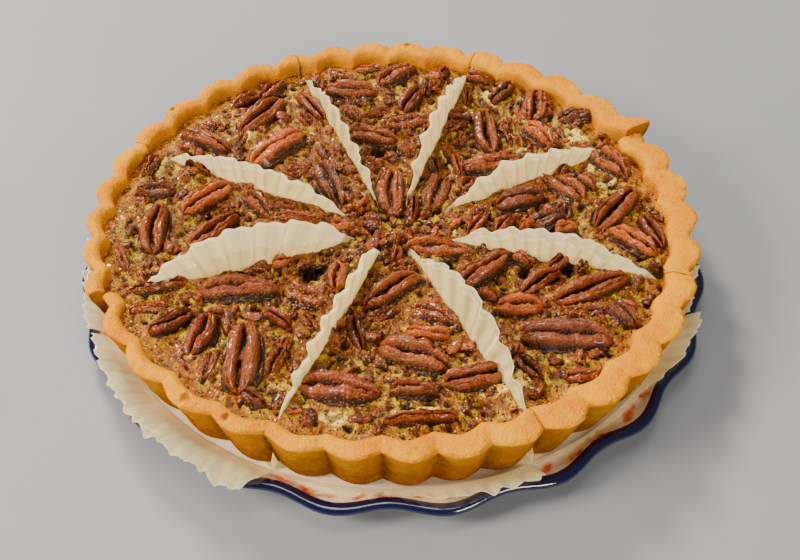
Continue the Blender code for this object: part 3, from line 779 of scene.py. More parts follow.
def burst_bubbles(x, y, k, rng):
    """Depth of small pits at random places in slice k; below 0 on their lips."""
    pits = np.zeros(len(x))
    away, share = rng.uniform(6, CUSTARD_EDGE, PITS), rng.uniform(-1, 1, PITS)
    spots = polar(away, fan(k, np.full(PITS, 60.0), share), 0.0)
    sizes = rng.uniform(*PIT_SIZES, PITS) ** 1.4
    for (spot_x, spot_y, _), size in zip(spots, sizes):
        far = np.hypot(x - spot_x, y - spot_y) / size
        close = far < 3
        lip = 0.22 * np.exp(-((far[close] - 1.6) / 0.4) ** 2)
        pits[close] = np.maximum(pits[close], size * (np.exp(-far[close] ** 2) - lip))
    return pits


def deep_holes(x, y):
    """Depth of the dark holes between lumps and nuts."""
    holes = np.zeros(len(x))
    for hole_x, hole_y, size, deep in HOLES:
        far = np.hypot(x - hole_x, y - hole_y) / size
        holes = np.maximum(holes, deep * np.exp(-far ** 3) * (0.8 + 0.3 * np.sin(3 * x)))
    return holes


def pale_lumps(x, y, froth):
    """1 where pale custard broke through, with an edge that the froth makes ragged."""
    pale = np.zeros(len(x))
    for spot_x, spot_y, length, width, turn in PALE:
        far = oval(x, y, spot_x, spot_y, length, width, turn) + 0.25 * froth
        pale = np.maximum(pale, 1 - step(far, 0.75, 1.15))
    return pale


print("deep holes:", len(HOLES), "pale lumps:", len(PALE))

# %% [markdown]
# The worked surface gets a skirt down to the filling's base and one flat face below, so that each
# slice is closed. What the shader has to know about a place, such as how deep it lies or how much
# toffee it holds, rides on the points as masks.

# %% Custard slices
SKIN_SINKS = 1.6
GRAIN_HEIGHT = 0.42
FROTH_HEIGHT = 0.7
CRUMB_HEIGHT = 1.5
PIT_DEPTH = 1.2
PALE_RISES = 0.5


def custard_places(k):
    """x and y of the points of slice k's surface, and a mask for the skin near the case."""
    share = np.linspace(-1, 1, CUSTARD_COLUMNS)
    wall = crust_inside(fan(k, np.full(CUSTARD_COLUMNS, CUSTARD_EDGE), share))
    edge = wall + CUSTARD_UNDER_RIM
    depth = np.linspace(0, 1, CUSTARD_ROWS)[:, None] ** 0.93
    radius = CUSTARD_TIP + (edge - CUSTARD_TIP) * depth
    flat = polar(radius, fan(k, radius, share), 0.0).reshape(-1, 3)
    x, y = flat[:, 0], flat[:, 1]
    skin = step(np.hypot(x, y) / np.broadcast_to(edge, radius.shape).ravel(), 0.90, 1.0)
    return x, y, skin


def with_skirt(top):
    """Closes a worked surface with straight sides and a flat underside."""
    outline = boundary(CUSTARD_ROWS, CUSTARD_COLUMNS)
    skirt = top[outline].copy()
    skirt[:, 2] = CUSTARD_BASE
    count = len(top)
    faces = grid(CUSTARD_ROWS, CUSTARD_COLUMNS)
    for i, one in enumerate(outline):
        j = (i + 1) % len(outline)
        faces.append((outline[j], one, count + i, count + j))
    faces.append(tuple(count + i for i in range(len(outline))))
    return np.concatenate((top, skirt)), faces


def build_custard(k, rng):
    """Slice k of the filling, with masks for skin, painted shade in its dips, pale lumps and toffee."""
    x, y, skin = custard_places(k)
    away = np.hypot(x, y)
    height = custard_level(x, y) + nut_laps(x, y, k) - SKIN_SINKS * skin
    pits, holes = burst_bubbles(x, y, k, rng), deep_holes(x, y)
    place = np.stack((x, y, height), -1)
    grains, froth = bumps(place, 1.7, 2, 20.0), bumps(place, 4.5, 2, 30.0)
    crumbly = np.abs(bumps(place, 3.2, 2, 41.0))
    pale = pale_lumps(x, y, froth)
    rough = GRAIN_HEIGHT * grains + FROTH_HEIGHT * froth + CRUMB_HEIGHT * (0.25 - crumbly)
    height += step(away, 1.0, 8.0) * rough - PIT_DEPTH * pits - holes + PALE_RISES * pale
    # Painted shade: darker in the pits, down the holes, between the crumbs and in the dips of the grain.
    dark = 0.5 * pits + 0.45 * holes + 0.6 * step(crumbly, 0.26, 0.58) + 0.3 * step(-grains, 0.2, 0.7)
    toffee = 0.62 - 0.2 * step(away, 60, 105) + 0.8 * froth
    points, faces = with_skirt(np.stack((x, y, height), -1))

    def whole(values, below):
        return np.concatenate((np.clip(values, 0, 1), np.full(len(points) - len(x), below)))

    masks = {"skin": whole(skin, 0.0), "dark": whole(dark, 0.3), "pale": whole(pale, 0.2),
             "toffee": whole(toffee, 0.5)}
    return piece(f"custard_slice_{k + 1}", points, faces, CUSTARD_FINISH,
                 [f"filling_{k + 1}"], masks, 80)


# %% [markdown]
# Baked custard with toffee is several colours at once: brown where the sugar darkened, olive
# yellow where it stayed spongy, orange in the skin against the case, and pale where a lump of
# custard broke through. Shade is painted in, nearly black, down the holes and pits, in the pores and
# between the crumbs. The grain is coarse and glossy, so hundreds of tiny facets catch the lamps, and
# a thin clear coat stands for the sticky sugar.

# %% Custard finish
# The nearly black colour is painted shade.
CUSTARD_COLOURS = {
    "olive": srgb(202, 164, 14), "toffee": srgb(144, 80, 10), "burnt": srgb(84, 40, 12),
    "skin": srgb(178, 104, 14), "sugar": srgb(226, 170, 54), "pale": srgb(236, 200, 92),
    "shade_and_dark_patches": srgb(42, 19, 5)}


def build_custard_finish():
    """Olive and toffee first, then burnt grains, skin, sugar, pale lumps and painted shade in the hollows."""
    made, tree, shader = finish_named("toffee custard", 0.44, Specular_IOR_Level=0.24, Coat_Weight=0.08,
                                      Coat_Roughness=0.15)
    cloud = effect(tree, MOTTLING, "Mask", Size=4.2, Seed=3.0, Share=0.5, Softness=0.13)
    toffee = maths(tree, "ADD", mask(tree, "toffee"), maths(tree, "MULTIPLY", cloud, 0.6))
    colour = mix(tree, between(tree, toffee, 0.35, 0.95), CUSTARD_COLOURS["olive"], CUSTARD_COLOURS["toffee"])
    fine = effect(tree, MOTTLING, "Mask", Size=2.2, Seed=8.0, Share=0.45, Softness=0.12)
    colour = mix(tree, maths(tree, "MULTIPLY", fine, 0.8), colour, CUSTARD_COLOURS["burnt"])
    patchy = maths(tree, "ADD", 0.55, maths(tree, "MULTIPLY", cloud, 0.5))
    skin = maths(tree, "MULTIPLY", mask(tree, "skin"), patchy, clamp=True)
    colour = mix(tree, skin, colour, CUSTARD_COLOURS["skin"])
    sugar = effect(tree, SPECKS, "Mask", Spacing=1.1, Seed=5.0, Radius=0.34, Share=0.4)
    colour = mix(tree, maths(tree, "MULTIPLY", sugar, 0.75), colour, CUSTARD_COLOURS["sugar"])
    colour = mix(tree, mask(tree, "pale"), colour, CUSTARD_COLOURS["pale"])
    # Painted shade, nearly black, in the pits, holes, crevices and pores.
    pores = effect(tree, SPECKS, "Mask", Spacing=1.4, Seed=12.0, Radius=0.36, Share=0.5)
    dark = maths(tree, "MAXIMUM", mask(tree, "dark"), maths(tree, "MULTIPLY", pores, 0.8))
    colour = mix(tree, between(tree, dark, 0.1, 0.85), colour, CUSTARD_COLOURS["shade_and_dark_patches"])
    feed(tree, shader.inputs["Base Color"], colour)
    height = effect(tree, GRAIN, "Height", Size=0.95, Seed=2.0, Fine=0.8)
    bump(tree, shader, height, 0.65)
    wet = effect(tree, SPECKS, "Mask", Spacing=1.6, Seed=21.0, Radius=0.45, Share=0.5)
    feed(tree, shader.inputs["Coat Weight"], maths(tree, "MULTIPLY", wet, 0.7))
    return made


CUSTARD_FINISH = build_custard_finish()
rng = np.random.default_rng(5)
custards = [build_custard(k, rng) for k in range(SLICES)]
print("custard points in a slice:", len(custards[4].data.vertices))

# %% [markdown]
# ## A pecan half
# The back of a pecan half has two long rounded lobes with a deep groove between them, a crease
# along each lobe, and a lower flank outside each. So the height across the nut is a formula of the
# distance from its middle line. Along the nut the lobes fall away bluntly at both ends, reach a
# little further than the groove, and fine wrinkles run over them.

# %% Pecan mesh
BELLY = 3.0
LOBE_AT = 0.44
LOBE_HALF = 0.385
CREASE_AT = 0.50
CREASE_WIDTH = 0.075
FLANK_HEIGHT = 0.58
GROOVE_STOPS_SHORT = 0.14
BEND = 0.035
FINE_STEPS = (38, 30, 8)
COARSE_STEPS = (26, 22, 6)


def section(v, groove, crease):
    """Height across the back, from 0 to 1: two creased lobes with a valley, and lower flanks."""
    off = np.abs(v)
    lobes = np.clip(1 - (np.abs(off - LOBE_AT) / LOBE_HALF) ** 2.4, 0, 1) ** 0.5
    lobes = lobes * (1 - crease * np.exp(-((off - CREASE_AT) / CREASE_WIDTH) ** 2))
    valley = (1 - groove) * (1 - step(off, 0.3, 0.5))
    flank = FLANK_HEIGHT * np.clip(1 - off ** 2, 0, 1) ** 0.4
    flank = flank * (1 - 0.5 * np.exp(-((off - 0.80) / 0.06) ** 2))
    return np.maximum(lobes, np.maximum(valley, flank * step(off, 0.45, 0.7)))


def pecan_points(length, width, kind, seed, steps):
    """Points of a pecan half that lies along X, and its masks."""
    tone, ribs, sugar, groove, height = PECAN_KINDS[kind]
    along = np.sin(np.linspace(-pi / 2, pi / 2, steps[0]))[:, None]
    over = np.linspace(1, -1, steps[1])
    over = 0.75 * over + 0.25 * np.sin(over * pi / 2)
    under = -np.cos(np.linspace(0, pi, steps[2] + 2))[1:-1]
    across = np.concatenate((over, under))[None, :]
    above = np.concatenate((np.ones(steps[1]), np.zeros(steps[2])))[None, :]
    blunt = np.clip(1 - np.abs(along) ** 3.0, 0, 1) ** 0.48
    wander = 0.07 * np.sin(2.6 * along + 2 * seed)
    v = np.clip(across - wander * (1 - across ** 2), -1, 1)
    uneven = 1 + 0.13 * np.sin(2.7 * along + 2.0 * seed + 1.6 * np.sign(v)) * (0.6 + ribs)
    crease = (0.16 + 0.22 * ribs) * (0.75 + 0.5 * np.sin(2.1 * along + 3.1 * seed + 2.2 * np.sign(v)))
    profile = section(v, groove, crease)
    top = profile * uneven * blunt ** 0.7 * height
    z = np.where(above > 0, top, -BELLY * np.sqrt(1 - across ** 2) * blunt)
    bend = BEND * length * (1 - along ** 2) * sin(seed * 1.7)
    y = across * (width / 2) * blunt * (1 - 0.12 * along) + bend
    x = along * (length / 2) * (1 - GROOVE_STOPS_SHORT * above * np.exp(-(v / 0.22) ** 2))
    points = np.stack(np.broadcast_arrays(x, y, z), -1).reshape(-1, 3)
    crown = np.broadcast_to(above * (1 - across ** 6), z.shape).ravel()
    wrinkles = bumps(points * (1.0, 0.4, 0.5), 1.7, 2, seed * 5.0)
    swell = bumps(points, 5.0, 2, seed * 3.0)
    points[:, 2] += crown * ((0.5 + 1.2 * ribs) * wrinkles + (0.5 + 0.9 * ribs) * swell)
    points[:, 1] += crown * ((0.15 + 0.5 * ribs) * wrinkles + 0.5 * swell)
    # Painted shade where the back lies low, in the groove and on the flanks, and in the dips of the wrinkles.
    # The tone turns a little more orange where the back bulges, a painted highlight.
    low = np.clip(1.08 - profile * 1.1, 0, 1)
    shade_and_dark_patches = np.broadcast_to(low, z.shape).ravel() - 0.7 * (0.3 + ribs) * wrinkles
    masks = {"shade_and_dark_patches": np.clip(shade_and_dark_patches, 0, 1), "tone": tone + 0.16 * swell,
             "sugar": np.full(len(points), sugar)}
    return points, masks


def pecan_faces(steps):
    """Faces of one half: the grid round it and a cap at each end."""
    around = steps[1] + steps[2]
    faces = grid(steps[0], around, closed=True)
    last = (steps[0] - 1) * around
    faces.append(tuple(reversed(range(around))))
    faces.append(tuple(last + i for i in range(around)))
    return faces


print("points of a big half:", FINE_STEPS[0] * (FINE_STEPS[1] + FINE_STEPS[2]))

# %% [markdown]
# Each half is laid on the custard where it was placed: tipped to the slope there, turned to its
# direction and rocked a little. Points that would reach over a cut or into the case are held back,
# because the knife and the tin did the same to the real nuts.

# %% Laying the pecans
PROUD_LIFT = -0.2
SUNK_LIFT = -0.8
LAID_REACH = 8.0
ROCK = 7.0
TIP_OVERLAP = 3.0


def laid(points, row, lift):
    """Lays a half on the custard: tipped to its slope and turned to its direction."""
    x, y, turn = row[:3]
    a = radians(turn)
    both_ways = np.array([LAID_REACH, -LAID_REACH])
    front, back = custard_level(x + both_ways * cos(a), y + both_ways * sin(a))
    slope = np.arctan2(front - back, 2 * LAID_REACH)
    tipped = radians(ROCK * sin(x * 1.3 + y))
    place = Matrix.Translation((x, y, (front + back) / 2 + lift)) @ Matrix.Rotation(a, 4, "Z")
    place = place @ Matrix.Rotation(-slope, 4, "Y") @ Matrix.Rotation(tipped, 4, "X")
    turned = np.array(place)
    return points @ turned[:3, :3].T + turned[:3, 3]


def behind_cuts(points, k):
    """Holds points back behind the crust and, except near the tip, behind both cuts of a slice."""
    middle, half = slice_angles(k)
    points = points.copy()
    for side in (-1, 1):
        a = radians(middle + side * half)
        along = points[:, 0] * cos(a) + points[:, 1] * sin(a)
        beside = side * (points[:, 0] * sin(a) - points[:, 1] * cos(a))
        least = -TIP_OVERLAP + (TIP_OVERLAP + HALF_CUT) * step(along, 10, TIP_OPENS_AT)
        short = np.clip(least - beside, 0, None)
        points[:, 0] += side * short * sin(a)
        points[:, 1] -= side * short * cos(a)
    away = np.hypot(points[:, 0], points[:, 1])
    inside = crust_inside(np.degrees(np.arctan2(points[:, 1], points[:, 0]))) - 0.1
    points[:, :2] *= np.minimum(1, inside / away)[:, None]
    return points


def joined(parts):
    """Several meshes of the same kind as one list of points, faces and masks."""
    points, faces, masks, start = [], [], {}, 0
    for part_points, part_faces, part_masks in parts:
        points.append(part_points)
        faces += [tuple(start + i for i in face) for face in part_faces]
        for name, values in part_masks.items():
            masks.setdefault(name, []).append(values)
        start += len(part_points)
    return np.concatenate(points), faces, {name: np.concatenate(values) for name, values in masks.items()}


# %% [markdown]
# Between the halves lie dozens of broken bits of nut and drops of toffee. A bit is a ball of few
# points that coarse noise crushes, stretched and dropped at a seeded random place. The four big
# halves of a slice are pieces of their own, and the rest is joined into one mesh a slice.

# %% Broken bits and the slices' nuts
PROUD = 4
CHIPS = 78
CHIP_STEPS = (8, 11)
CHIP_SIZES = (1.0, 2.9)
CHIP_REACH = (8.0, 110.0)


def crushed_ball(rng):
    """A ball of radius 1, pushed in and out by noise, and its faces."""
    rows, columns = CHIP_STEPS
    down = np.linspace(0, pi, rows + 2)[1:-1, None]
    around = np.linspace(0, tau, columns, endpoint=False)[None, :]
    across = np.sin(down)
    ball = np.stack(np.broadcast_arrays(across * np.cos(around), across * np.sin(around), np.cos(down)), -1)
    ball = ball.reshape(-1, 3)
    ball *= (1 + 0.75 * bumps(ball + rng.uniform(0, 90), 0.9, 2))[:, None]
    faces = [tuple(reversed(face)) for face in grid(rows, columns, closed=True)]
    faces.append(tuple(range(columns)))
    faces.append(tuple((rows - 1) * columns + i for i in reversed(range(columns))))
    return ball, faces


def chip(k, rng):
    """A broken bit of nut or toffee somewhere in slice k."""
    size = rng.uniform(*CHIP_SIZES)
    least, most = CHIP_REACH
    away = np.array([sqrt(rng.uniform(least ** 2, most ** 2))])
    x, y, _ = polar(away, fan(k, away, rng.uniform(-0.97, 0.97)), 0.0)[0]
    ball, faces = crushed_ball(rng)
    turned = np.array(Matrix.Rotation(rng.uniform(0, tau), 3, "Z"))
    stretch = size * rng.uniform(1.0, 1.8), size * rng.uniform(0.6, 1.0), size * rng.uniform(0.5, 0.9)
    points = ball * stretch @ turned.T
    points += (x, y, custard_level(np.array([x]), np.array([y]))[0] + 0.35 * stretch[2])
    count = len(points)
    # Random dark patches on the bit.
    masks = {"shade_and_dark_patches": np.clip(-2.2 * bumps(points, 1.2, 1), 0, 1),
             "tone": np.full(count, rng.uniform(0.1, 0.95)),
             "sugar": np.full(count, rng.uniform(0.1, 0.9))}
    return behind_cuts(points, k), faces, masks


def build_pecans(k, rng):
    """The nuts of slice k: big halves as pieces, and smaller ones and bits in one mesh."""
    deep = [chip(k, rng) for _ in range(CHIPS)]
    for n, row in enumerate(PECANS[k]):
        steps, lift = (FINE_STEPS, PROUD_LIFT) if n < PROUD else (COARSE_STEPS, SUNK_LIFT)
        length, width, kind = row[3:]
        points, masks = pecan_points(length, width, kind, 1.0 + n + 3.7 * k, steps)
        points = behind_cuts(laid(points, row, lift), k)
        if n < PROUD:
            piece(f"pecan_half_{k + 1}_{n + 1}", points, pecan_faces(steps), PECAN_FINISH,
                  [f"pecan_{k + 1}_{n + 1}"], masks, 80)
        else:
            deep.append((points, pecan_faces(steps), masks))
    points, faces, masks = joined(deep)
    piece(f"baked_in_pecans_{k + 1}", points, faces, PECAN_FINISH, None, masks, 80)


# %% [markdown]
# Roasted pecans run from purple black to orange brown. Their tone rides on the mesh. Shade is
# painted into the grooves, on the lower flanks and in the dips of the wrinkles, and a painted
# highlight turns the bulges a little more orange. The broken bits get random dark patches. Sugar and
# custard cling to some of them as pale grains. The skin is glossy under a thin coat, with fine cross
# bumps.

# %% Pecan finish
# The near-black colour is painted shade on the halves and dark patches on the bits.
PECAN_COLOURS = {
    "dark": srgb(58, 23, 9), "brown": srgb(128, 55, 12), "orange": srgb(190, 86, 12),
    "clouds": srgb(158, 74, 16), "shade_and_dark_patches": srgb(30, 12, 5), "sugar": srgb(206, 140, 40),
    "pore": srgb(34, 14, 7)}


def build_pecan_finish():
    """The nut's tone first, then clouds, painted shade in the grooves, clinging sugar and pores."""
    made, tree, shader = finish_named("toffee pecan", 0.36, Specular_IOR_Level=0.3, Coat_Weight=0.3,
                                      Coat_Roughness=0.1)
    ramp = add(tree, "ValToRGB", Fac=mask(tree, "tone"))
    ramp.color_ramp.elements[0].color = PECAN_COLOURS["dark"]
    ramp.color_ramp.elements[1].color = PECAN_COLOURS["orange"]
    middle = ramp.color_ramp.elements.new(0.5)
    middle.color = PECAN_COLOURS["brown"]
    cloud = effect(tree, MOTTLING, "Mask", Size=5.5, Seed=7.0, Share=0.45, Softness=0.2)
    colour = mix(tree, maths(tree, "MULTIPLY", cloud, 0.4), ramp.outputs["Color"], PECAN_COLOURS["clouds"])
    # Painted shade in the grooves and on the flanks of the halves; random dark patches on the bits.
    shade_and_dark_patches = between(tree, mask(tree, "shade_and_dark_patches"), 0.04, 0.6)
    colour = mix(tree, maths(tree, "MULTIPLY", shade_and_dark_patches, 0.94), colour, PECAN_COLOURS["shade_and_dark_patches"])
    grains = effect(tree, SPECKS, "Mask", Spacing=1.2, Seed=14.0, Radius=0.40, Share=0.6)
    clinging = maths(tree, "MULTIPLY", grains, mask(tree, "sugar"))
    colour = mix(tree, clinging, colour, PECAN_COLOURS["sugar"])
    pores = effect(tree, SPECKS, "Mask", Spacing=1.5, Seed=17.0, Radius=0.3, Share=0.4)
    porous = maths(tree, "MULTIPLY", pores, maths(tree, "ADD", 0.45, mask(tree, "sugar")), clamp=True)
    colour = mix(tree, porous, colour, PECAN_COLOURS["pore"])
    feed(tree, shader.inputs["Base Color"], colour)
    height = effect(tree, GRAIN, "Height", Size=1.0, Seed=6.0, Fine=1.0)
    rough = maths(tree, "MULTIPLY", height, maths(tree, "ADD", 0.5, mask(tree, "sugar")))
    bump(tree, shader, rough, 0.7)
    return made


PECAN_FINISH = build_pecan_finish()
for k in range(SLICES):
    build_pecans(k, rng)
print("pecan pieces:", SLICES * (PROUD + 1))

# %% [markdown]
# ## The baking papers
# Each slice stands on a round of thin pleated paper, folded up along both cuts and out over the
# dish's edge at the front. Greaseproof paper keeps the pleats of the stack it came from, so its
# pleats are radial about the round's own middle. A paper is one thin sheet: a grid of points on
# each side wall, on the floor and on the flap, thickened by a Solidify modifier. The top edges and
# the reach of the flaps are read off the photograph, a few points each, and joined smoothly.

# %% Paper shape
PAPER_FLOOR = DISH_FLOOR + 0.5
PAPER_THICK = 0.12
PAPER_FROM_CUT = 0.16
PLEAT_PITCH = 6.2
PLEAT = 0.7
WAVE_PITCH = 12.5
WAVE = 1.5
ARC_MIDDLE = 68.0
ARC_RADIUS = 60.0
WALL_COLUMNS = 136
WALL_ROWS = 15
FLAP_COLUMNS = 130
FLAP_ROWS = 12
BASE_ROWS = 4
FLAP_START = 119.0
FLAP_SLOPE = 0.70
FLAP_CREST = 5.4
FLAP_OVER = 130.0
FLAP_FALL = 0.42
FLAP_HANGS_AT = 137.0
FLAP_RAGGED = 1.6
FLAP_SHARE = 0.985
WALL_END_DEPTH = -23.0
EDGE_SMOOTHING = 9
EDGE_WAVE = 0.55
EDGE_PLEAT = 0.18
WALL_CALMS = 104.0
# Top edge of the paper on either side of each cut: distance along the cut and height above the rim
TOP_EDGES = (
    (((14, -16), (22, -9), (28, -3.5), (43, 1), (56, 5), (72, 6.5), (90, 2), (104, -2), (116, -8)),
     ((14, -17), (22, -10), (28, -4.5), (34, -1.5), (43, 1), (56, 4), (68, 5), (84, 1.5), (100, -3),
      (116, -9))),
    (((14, -14), (21, -8.6), (34, 4), (46, 7.5), (62, 9), (76, 8), (92, 3.5), (106, -2), (116, -8)),
     ((14, -15), (24, -7), (34, 2), (48, 6), (66, 7), (84, 3), (100, -3), (116, -9))),
    (((14, -18), (24, -13.3), (33, -5.4), (42, -0.2), (51, 4.7), (64, 4.7), (78, 3.5), (96, -1), (112, -8)),
     ((14, -19), (26, -13), (36, -6), (50, 1), (66, 2.5), (82, 0.5), (96, -4), (112, -10))),
    (((14, -18), (27, -11.1), (35, -4.2), (48, 1.1), (60, 4.6), (76, 5.7), (82, 5.5), (91, 1),
      (101, -1.5), (112, -9)),
     ((14, -19), (30, -11), (40, -5.6), (50, -2.5), (60, -1), (74, 0.9), (86, -2), (97, -6), (112, -11))),
    (((14, -13), (26, -7), (34, -2.5), (43, 4), (54, 8), (66, 11.5), (79, 11), (93, 6), (105, 0), (114, -6)),
     ((14, -14), (28, -8), (38, -1), (50, 5), (66, 8), (80, 7), (94, 3), (106, -3), (114, -8))),
    (((17, -14), (20, -6), (25, -1.5), (34, 1), (48, 2.8), (60, 4), (74, 4.8), (90, 3.5), (104, -1),
      (114, -7)),
     ((17, -15), (20, -7), (25, -2.5), (38, 0), (54, 2), (70, 3), (86, 1), (100, -4), (114, -9))),
    (((14, -18), (22, -12.8), (33, -7.9), (44, -4.5), (54, -2.2), (66, 0.2), (82, 1.2), (94, -2), (108, -8)),
     ((13, -16), (20, -10), (26, -3.4), (32, 1.7), (41, 5.9), (53, 9.5), (65, 11.5), (76, 11), (85, 8),
      (96, 3.5), (103, -2), (110, -8))),
    (((14, -17), (26, -10), (36, -3.5), (48, 0), (56, 2), (68, 0.6), (78, -1.6), (90, -5), (104, -10)),
     ((14, -18), (21, -14.8), (27, -9.1), (35, -2.2), (47, 0.6), (60, 3), (77, 3.7), (91, 0.8),
      (103, -2.5), (112, -9))))
# How far each cut's papers lean sideways at the top, towards the slice after the cut
LEANS = (0.3, 0.2, 0.4, 0.3, 1.7, 0.8, -0.4, 0.2)
# Reach of each slice's flap: angle and distance from the axis
FLAPS = (
    ((72, 123), (80, 126), (92, 127.5), (104, 126), (112, 123)),
    ((26, 123), (36, 126), (48, 127), (60, 126), (70, 123)),
    ((-18, 125), (-8, 127), (3, 127.5), (14, 126), (24, 123)),
    ((-65, 121.5), (-56, 121), (-46, 121), (-39.5, 121.5), (-35, 125.4), (-31, 127.2), (-27, 128.6),
     (-20, 129.2)),
    ((-109.5, 121), (-100, 121.8), (-91, 122.6), (-86, 124.5), (-82, 128), (-78.5, 129), (-77, 127.2),
     (-75, 131), (-73.3, 128), (-71.5, 131), (-69.5, 128), (-67.5, 130.5), (-66, 128.5)),
    ((-154, 128.5), (-148, 130), (-142, 131), (-136, 132.6), (-130, 133.2), (-125, 133.2), (-120, 133.2),
     (-116, 134), (-113.4, 134.8), (-112, 133.6), (-111, 127)),
    ((-199, 124), (-188, 127), (-178, 128.6), (-167, 128.8), (-157, 128.5)),
    ((-245, 123), (-234, 126), (-223, 127), (-211, 126), (-201, 123)))


def pleats(phase):
    """A zigzag with slightly rounded folds."""
    return np.arcsin(0.96 * np.sin(tau * phase)) / (pi / 2)


print("points in a wall:", WALL_ROWS * WALL_COLUMNS, "and in a flap:", FLAP_ROWS * FLAP_COLUMNS)

# %% [markdown]
# A wall starts on the floor of its cut and ends above the custard, where nothing holds it: there
# its pleats open and it leans over. Behind the nuts it stays flat between its slice and the knife's
# line. A mask on its points lets the shader paint shade on one side of each pleat.

# %% Paper walls
def top_edge(edge, along, turn, cut):
    """Height of a wall's top edge: smoothed between its given points, wavy and pleated."""
    reach, heights = zip(*edge)
    top = RIM_TOP + np.interp(along, reach + (FLAP_START,), heights + (WALL_END_DEPTH,))
    window = np.ones(EDGE_SMOOTHING) / EDGE_SMOOTHING
    top = np.convolve(np.pad(top, EDGE_SMOOTHING // 2, mode="edge"), window, mode="valid")
    wave = EDGE_WAVE * np.sin(tau * turn * ARC_RADIUS / WAVE_PITCH + cut)
    return top + wave + EDGE_PLEAT * pleats(turn * ARC_RADIUS / PLEAT_PITCH)


def wall(k, side, cut, edge):
    """One folded-up wall of a slice's paper, from its floor line up, with a mask of painted shade on its
    pleats.
    """
    middle, half = slice_angles(k)
    a = radians(middle + side * half)
    along = np.linspace(edge[0][0], FLAP_START, WALL_COLUMNS)
    top = top_edge(edge, along, np.arctan2(along - ARC_MIDDLE, ARC_RADIUS), cut)
    up = np.linspace(0, 1, WALL_ROWS)[:, None] ** 0.8
    height = PAPER_FLOOR + (np.maximum(top, PAPER_FLOOR + 3) - PAPER_FLOOR) * up
    centre = RIM_TOP + 6 - ARC_RADIUS
    swing = np.arctan2(along - ARC_MIDDLE, height - centre) * ARC_RADIUS
    surface = RIM_TOP - CUSTARD_SINKS + CUSTARD_RISES * (along / CUSTARD_EDGE) ** 2
    free = step(height, surface - 1.0, surface + 9.0) * (1 - step(along, WALL_CALMS, CUSTARD_EDGE))
    fine, broad = swing / PLEAT_PITCH + 0.4 * cut, swing / WAVE_PITCH + 0.3 * cut
    leaning = LEANS[cut] * step(height, surface, surface + 16) * (1 - step(along, 100, CUSTARD_EDGE))
    shift = free * (PLEAT * pleats(fine) + WAVE * pleats(broad)) + leaning
    inwards = PAPER_FROM_CUT * (1 - 0.5 * step(along, WALL_CALMS, 110)) - side * shift
    x = along * cos(a) + side * inwards * sin(a)
    y = along * sin(a) - side * inwards * cos(a)
    # Painted shade on one side of each pleat, above the custard.
    pleat_shading = 0.35 + 0.6 * step(height, surface - 6, surface + 4) * pleats(fine + 0.2)
    points = np.stack(np.broadcast_arrays(x, y, height), -1).reshape(-1, 3)
    return points, grid(WALL_ROWS, WALL_COLUMNS), {"pleat_shade": pleat_shading.ravel()}


# %% [markdown]
# The flap runs out from under the crust and up over the dish's edge. Where it reaches far past
# that edge, as on the front left, its own weight bends it down again, and it hides the edge.

# %% Paper flaps and sheets
def flap(k):
    """The part of the sheet that runs out from under the crust and over the dish's edge."""
    middle, half = slice_angles(k)
    angle = middle + np.linspace(-FLAP_SHARE, FLAP_SHARE, FLAP_COLUMNS) * half
    pleat = np.radians(angle) * CRUST_RADIUS / PLEAT_PITCH
    angles, reaches = zip(*sorted(FLAPS[k]))
    ragged = bumps(polar(np.full(FLAP_COLUMNS, CRUST_RADIUS), angle, 0.0), 3.6, 2, 7.0)
    reach = np.interp(angle, angles, reaches) + 0.5 * pleats(pleat) + FLAP_RAGGED * ragged
    out = np.linspace(0, 1, FLAP_ROWS)[:, None]
    radius = FLAP_START + (np.maximum(reach, FLAP_START + 1) - FLAP_START) * out
    free = step(radius, FLAP_START + 1, FLAP_START + 9)
    rise = FLAP_SLOPE * (radius - FLAP_START) + 1.0 * free
    crest = np.minimum(rise + 0.1 * (radius - FLAP_START), FLAP_CREST)
    hanging = crest - FLAP_FALL * np.clip(radius - FLAP_OVER, 0, None)
    rise += (hanging - rise) * step(reach, FLAP_OVER, FLAP_HANGS_AT)
    height = PAPER_FLOOR + rise + free * pleats(pleat)
    # Painted shade on one side of each pleat.
    pleat_shading = 0.5 + 0.5 * free * pleats(pleat + 0.2)
    return polar(radius, angle, height).reshape(-1, 3), grid(FLAP_ROWS, FLAP_COLUMNS), {"pleat_shade": pleat_shading.ravel()}


def build_paper(k):
    """The sheet of slice k: two walls, the flat between them and the flap, with some thickness."""
    left = wall(k, 1, k, TOP_EDGES[k][1])
    right = wall(k, -1, (k + 1) % SLICES, TOP_EDGES[(k + 1) % SLICES][0])
    left_floor, right_floor = left[0][:WALL_COLUMNS], right[0][:WALL_COLUMNS]
    share = np.linspace(0, 1, BASE_ROWS)[:, None, None]
    base = (left_floor + (right_floor - left_floor) * share).reshape(-1, 3)
    base[:, 2] = PAPER_FLOOR
    flat = base, grid(BASE_ROWS, WALL_COLUMNS), {"pleat_shade": np.full(len(base), 0.5)}
    points, faces, masks = joined([left, right, flat, flap(k)])
    made = piece(f"paper_slip_{k + 1}", points, faces, PAPER_FINISH, [f"paper_{k + 1}"], masks, 60)
    sheet = made.modifiers.new("thickness", "SOLIDIFY")
    sheet.thickness = PAPER_THICK * MM
    sheet.offset = 0.0
    return made


# %% [markdown]
# Greaseproof paper lets light through, so the layer behind shows as a faint second edge. A little
# see-through alpha does that, subsurface light softens it, and a faint warm glow stands for the
# daylight that a sheet so thin passes on. Fibres and handling give it a faint cloudiness and fine
# creases, and shade is painted on the far side of each pleat.

# %% Paper finish
# The darkest colour is painted shade for the pleats.
PAPER_COLOURS = {
    "cream": srgb(255, 230, 152), "pale cream": srgb(255, 240, 174), "pleat_shade": srgb(194, 164, 100)}


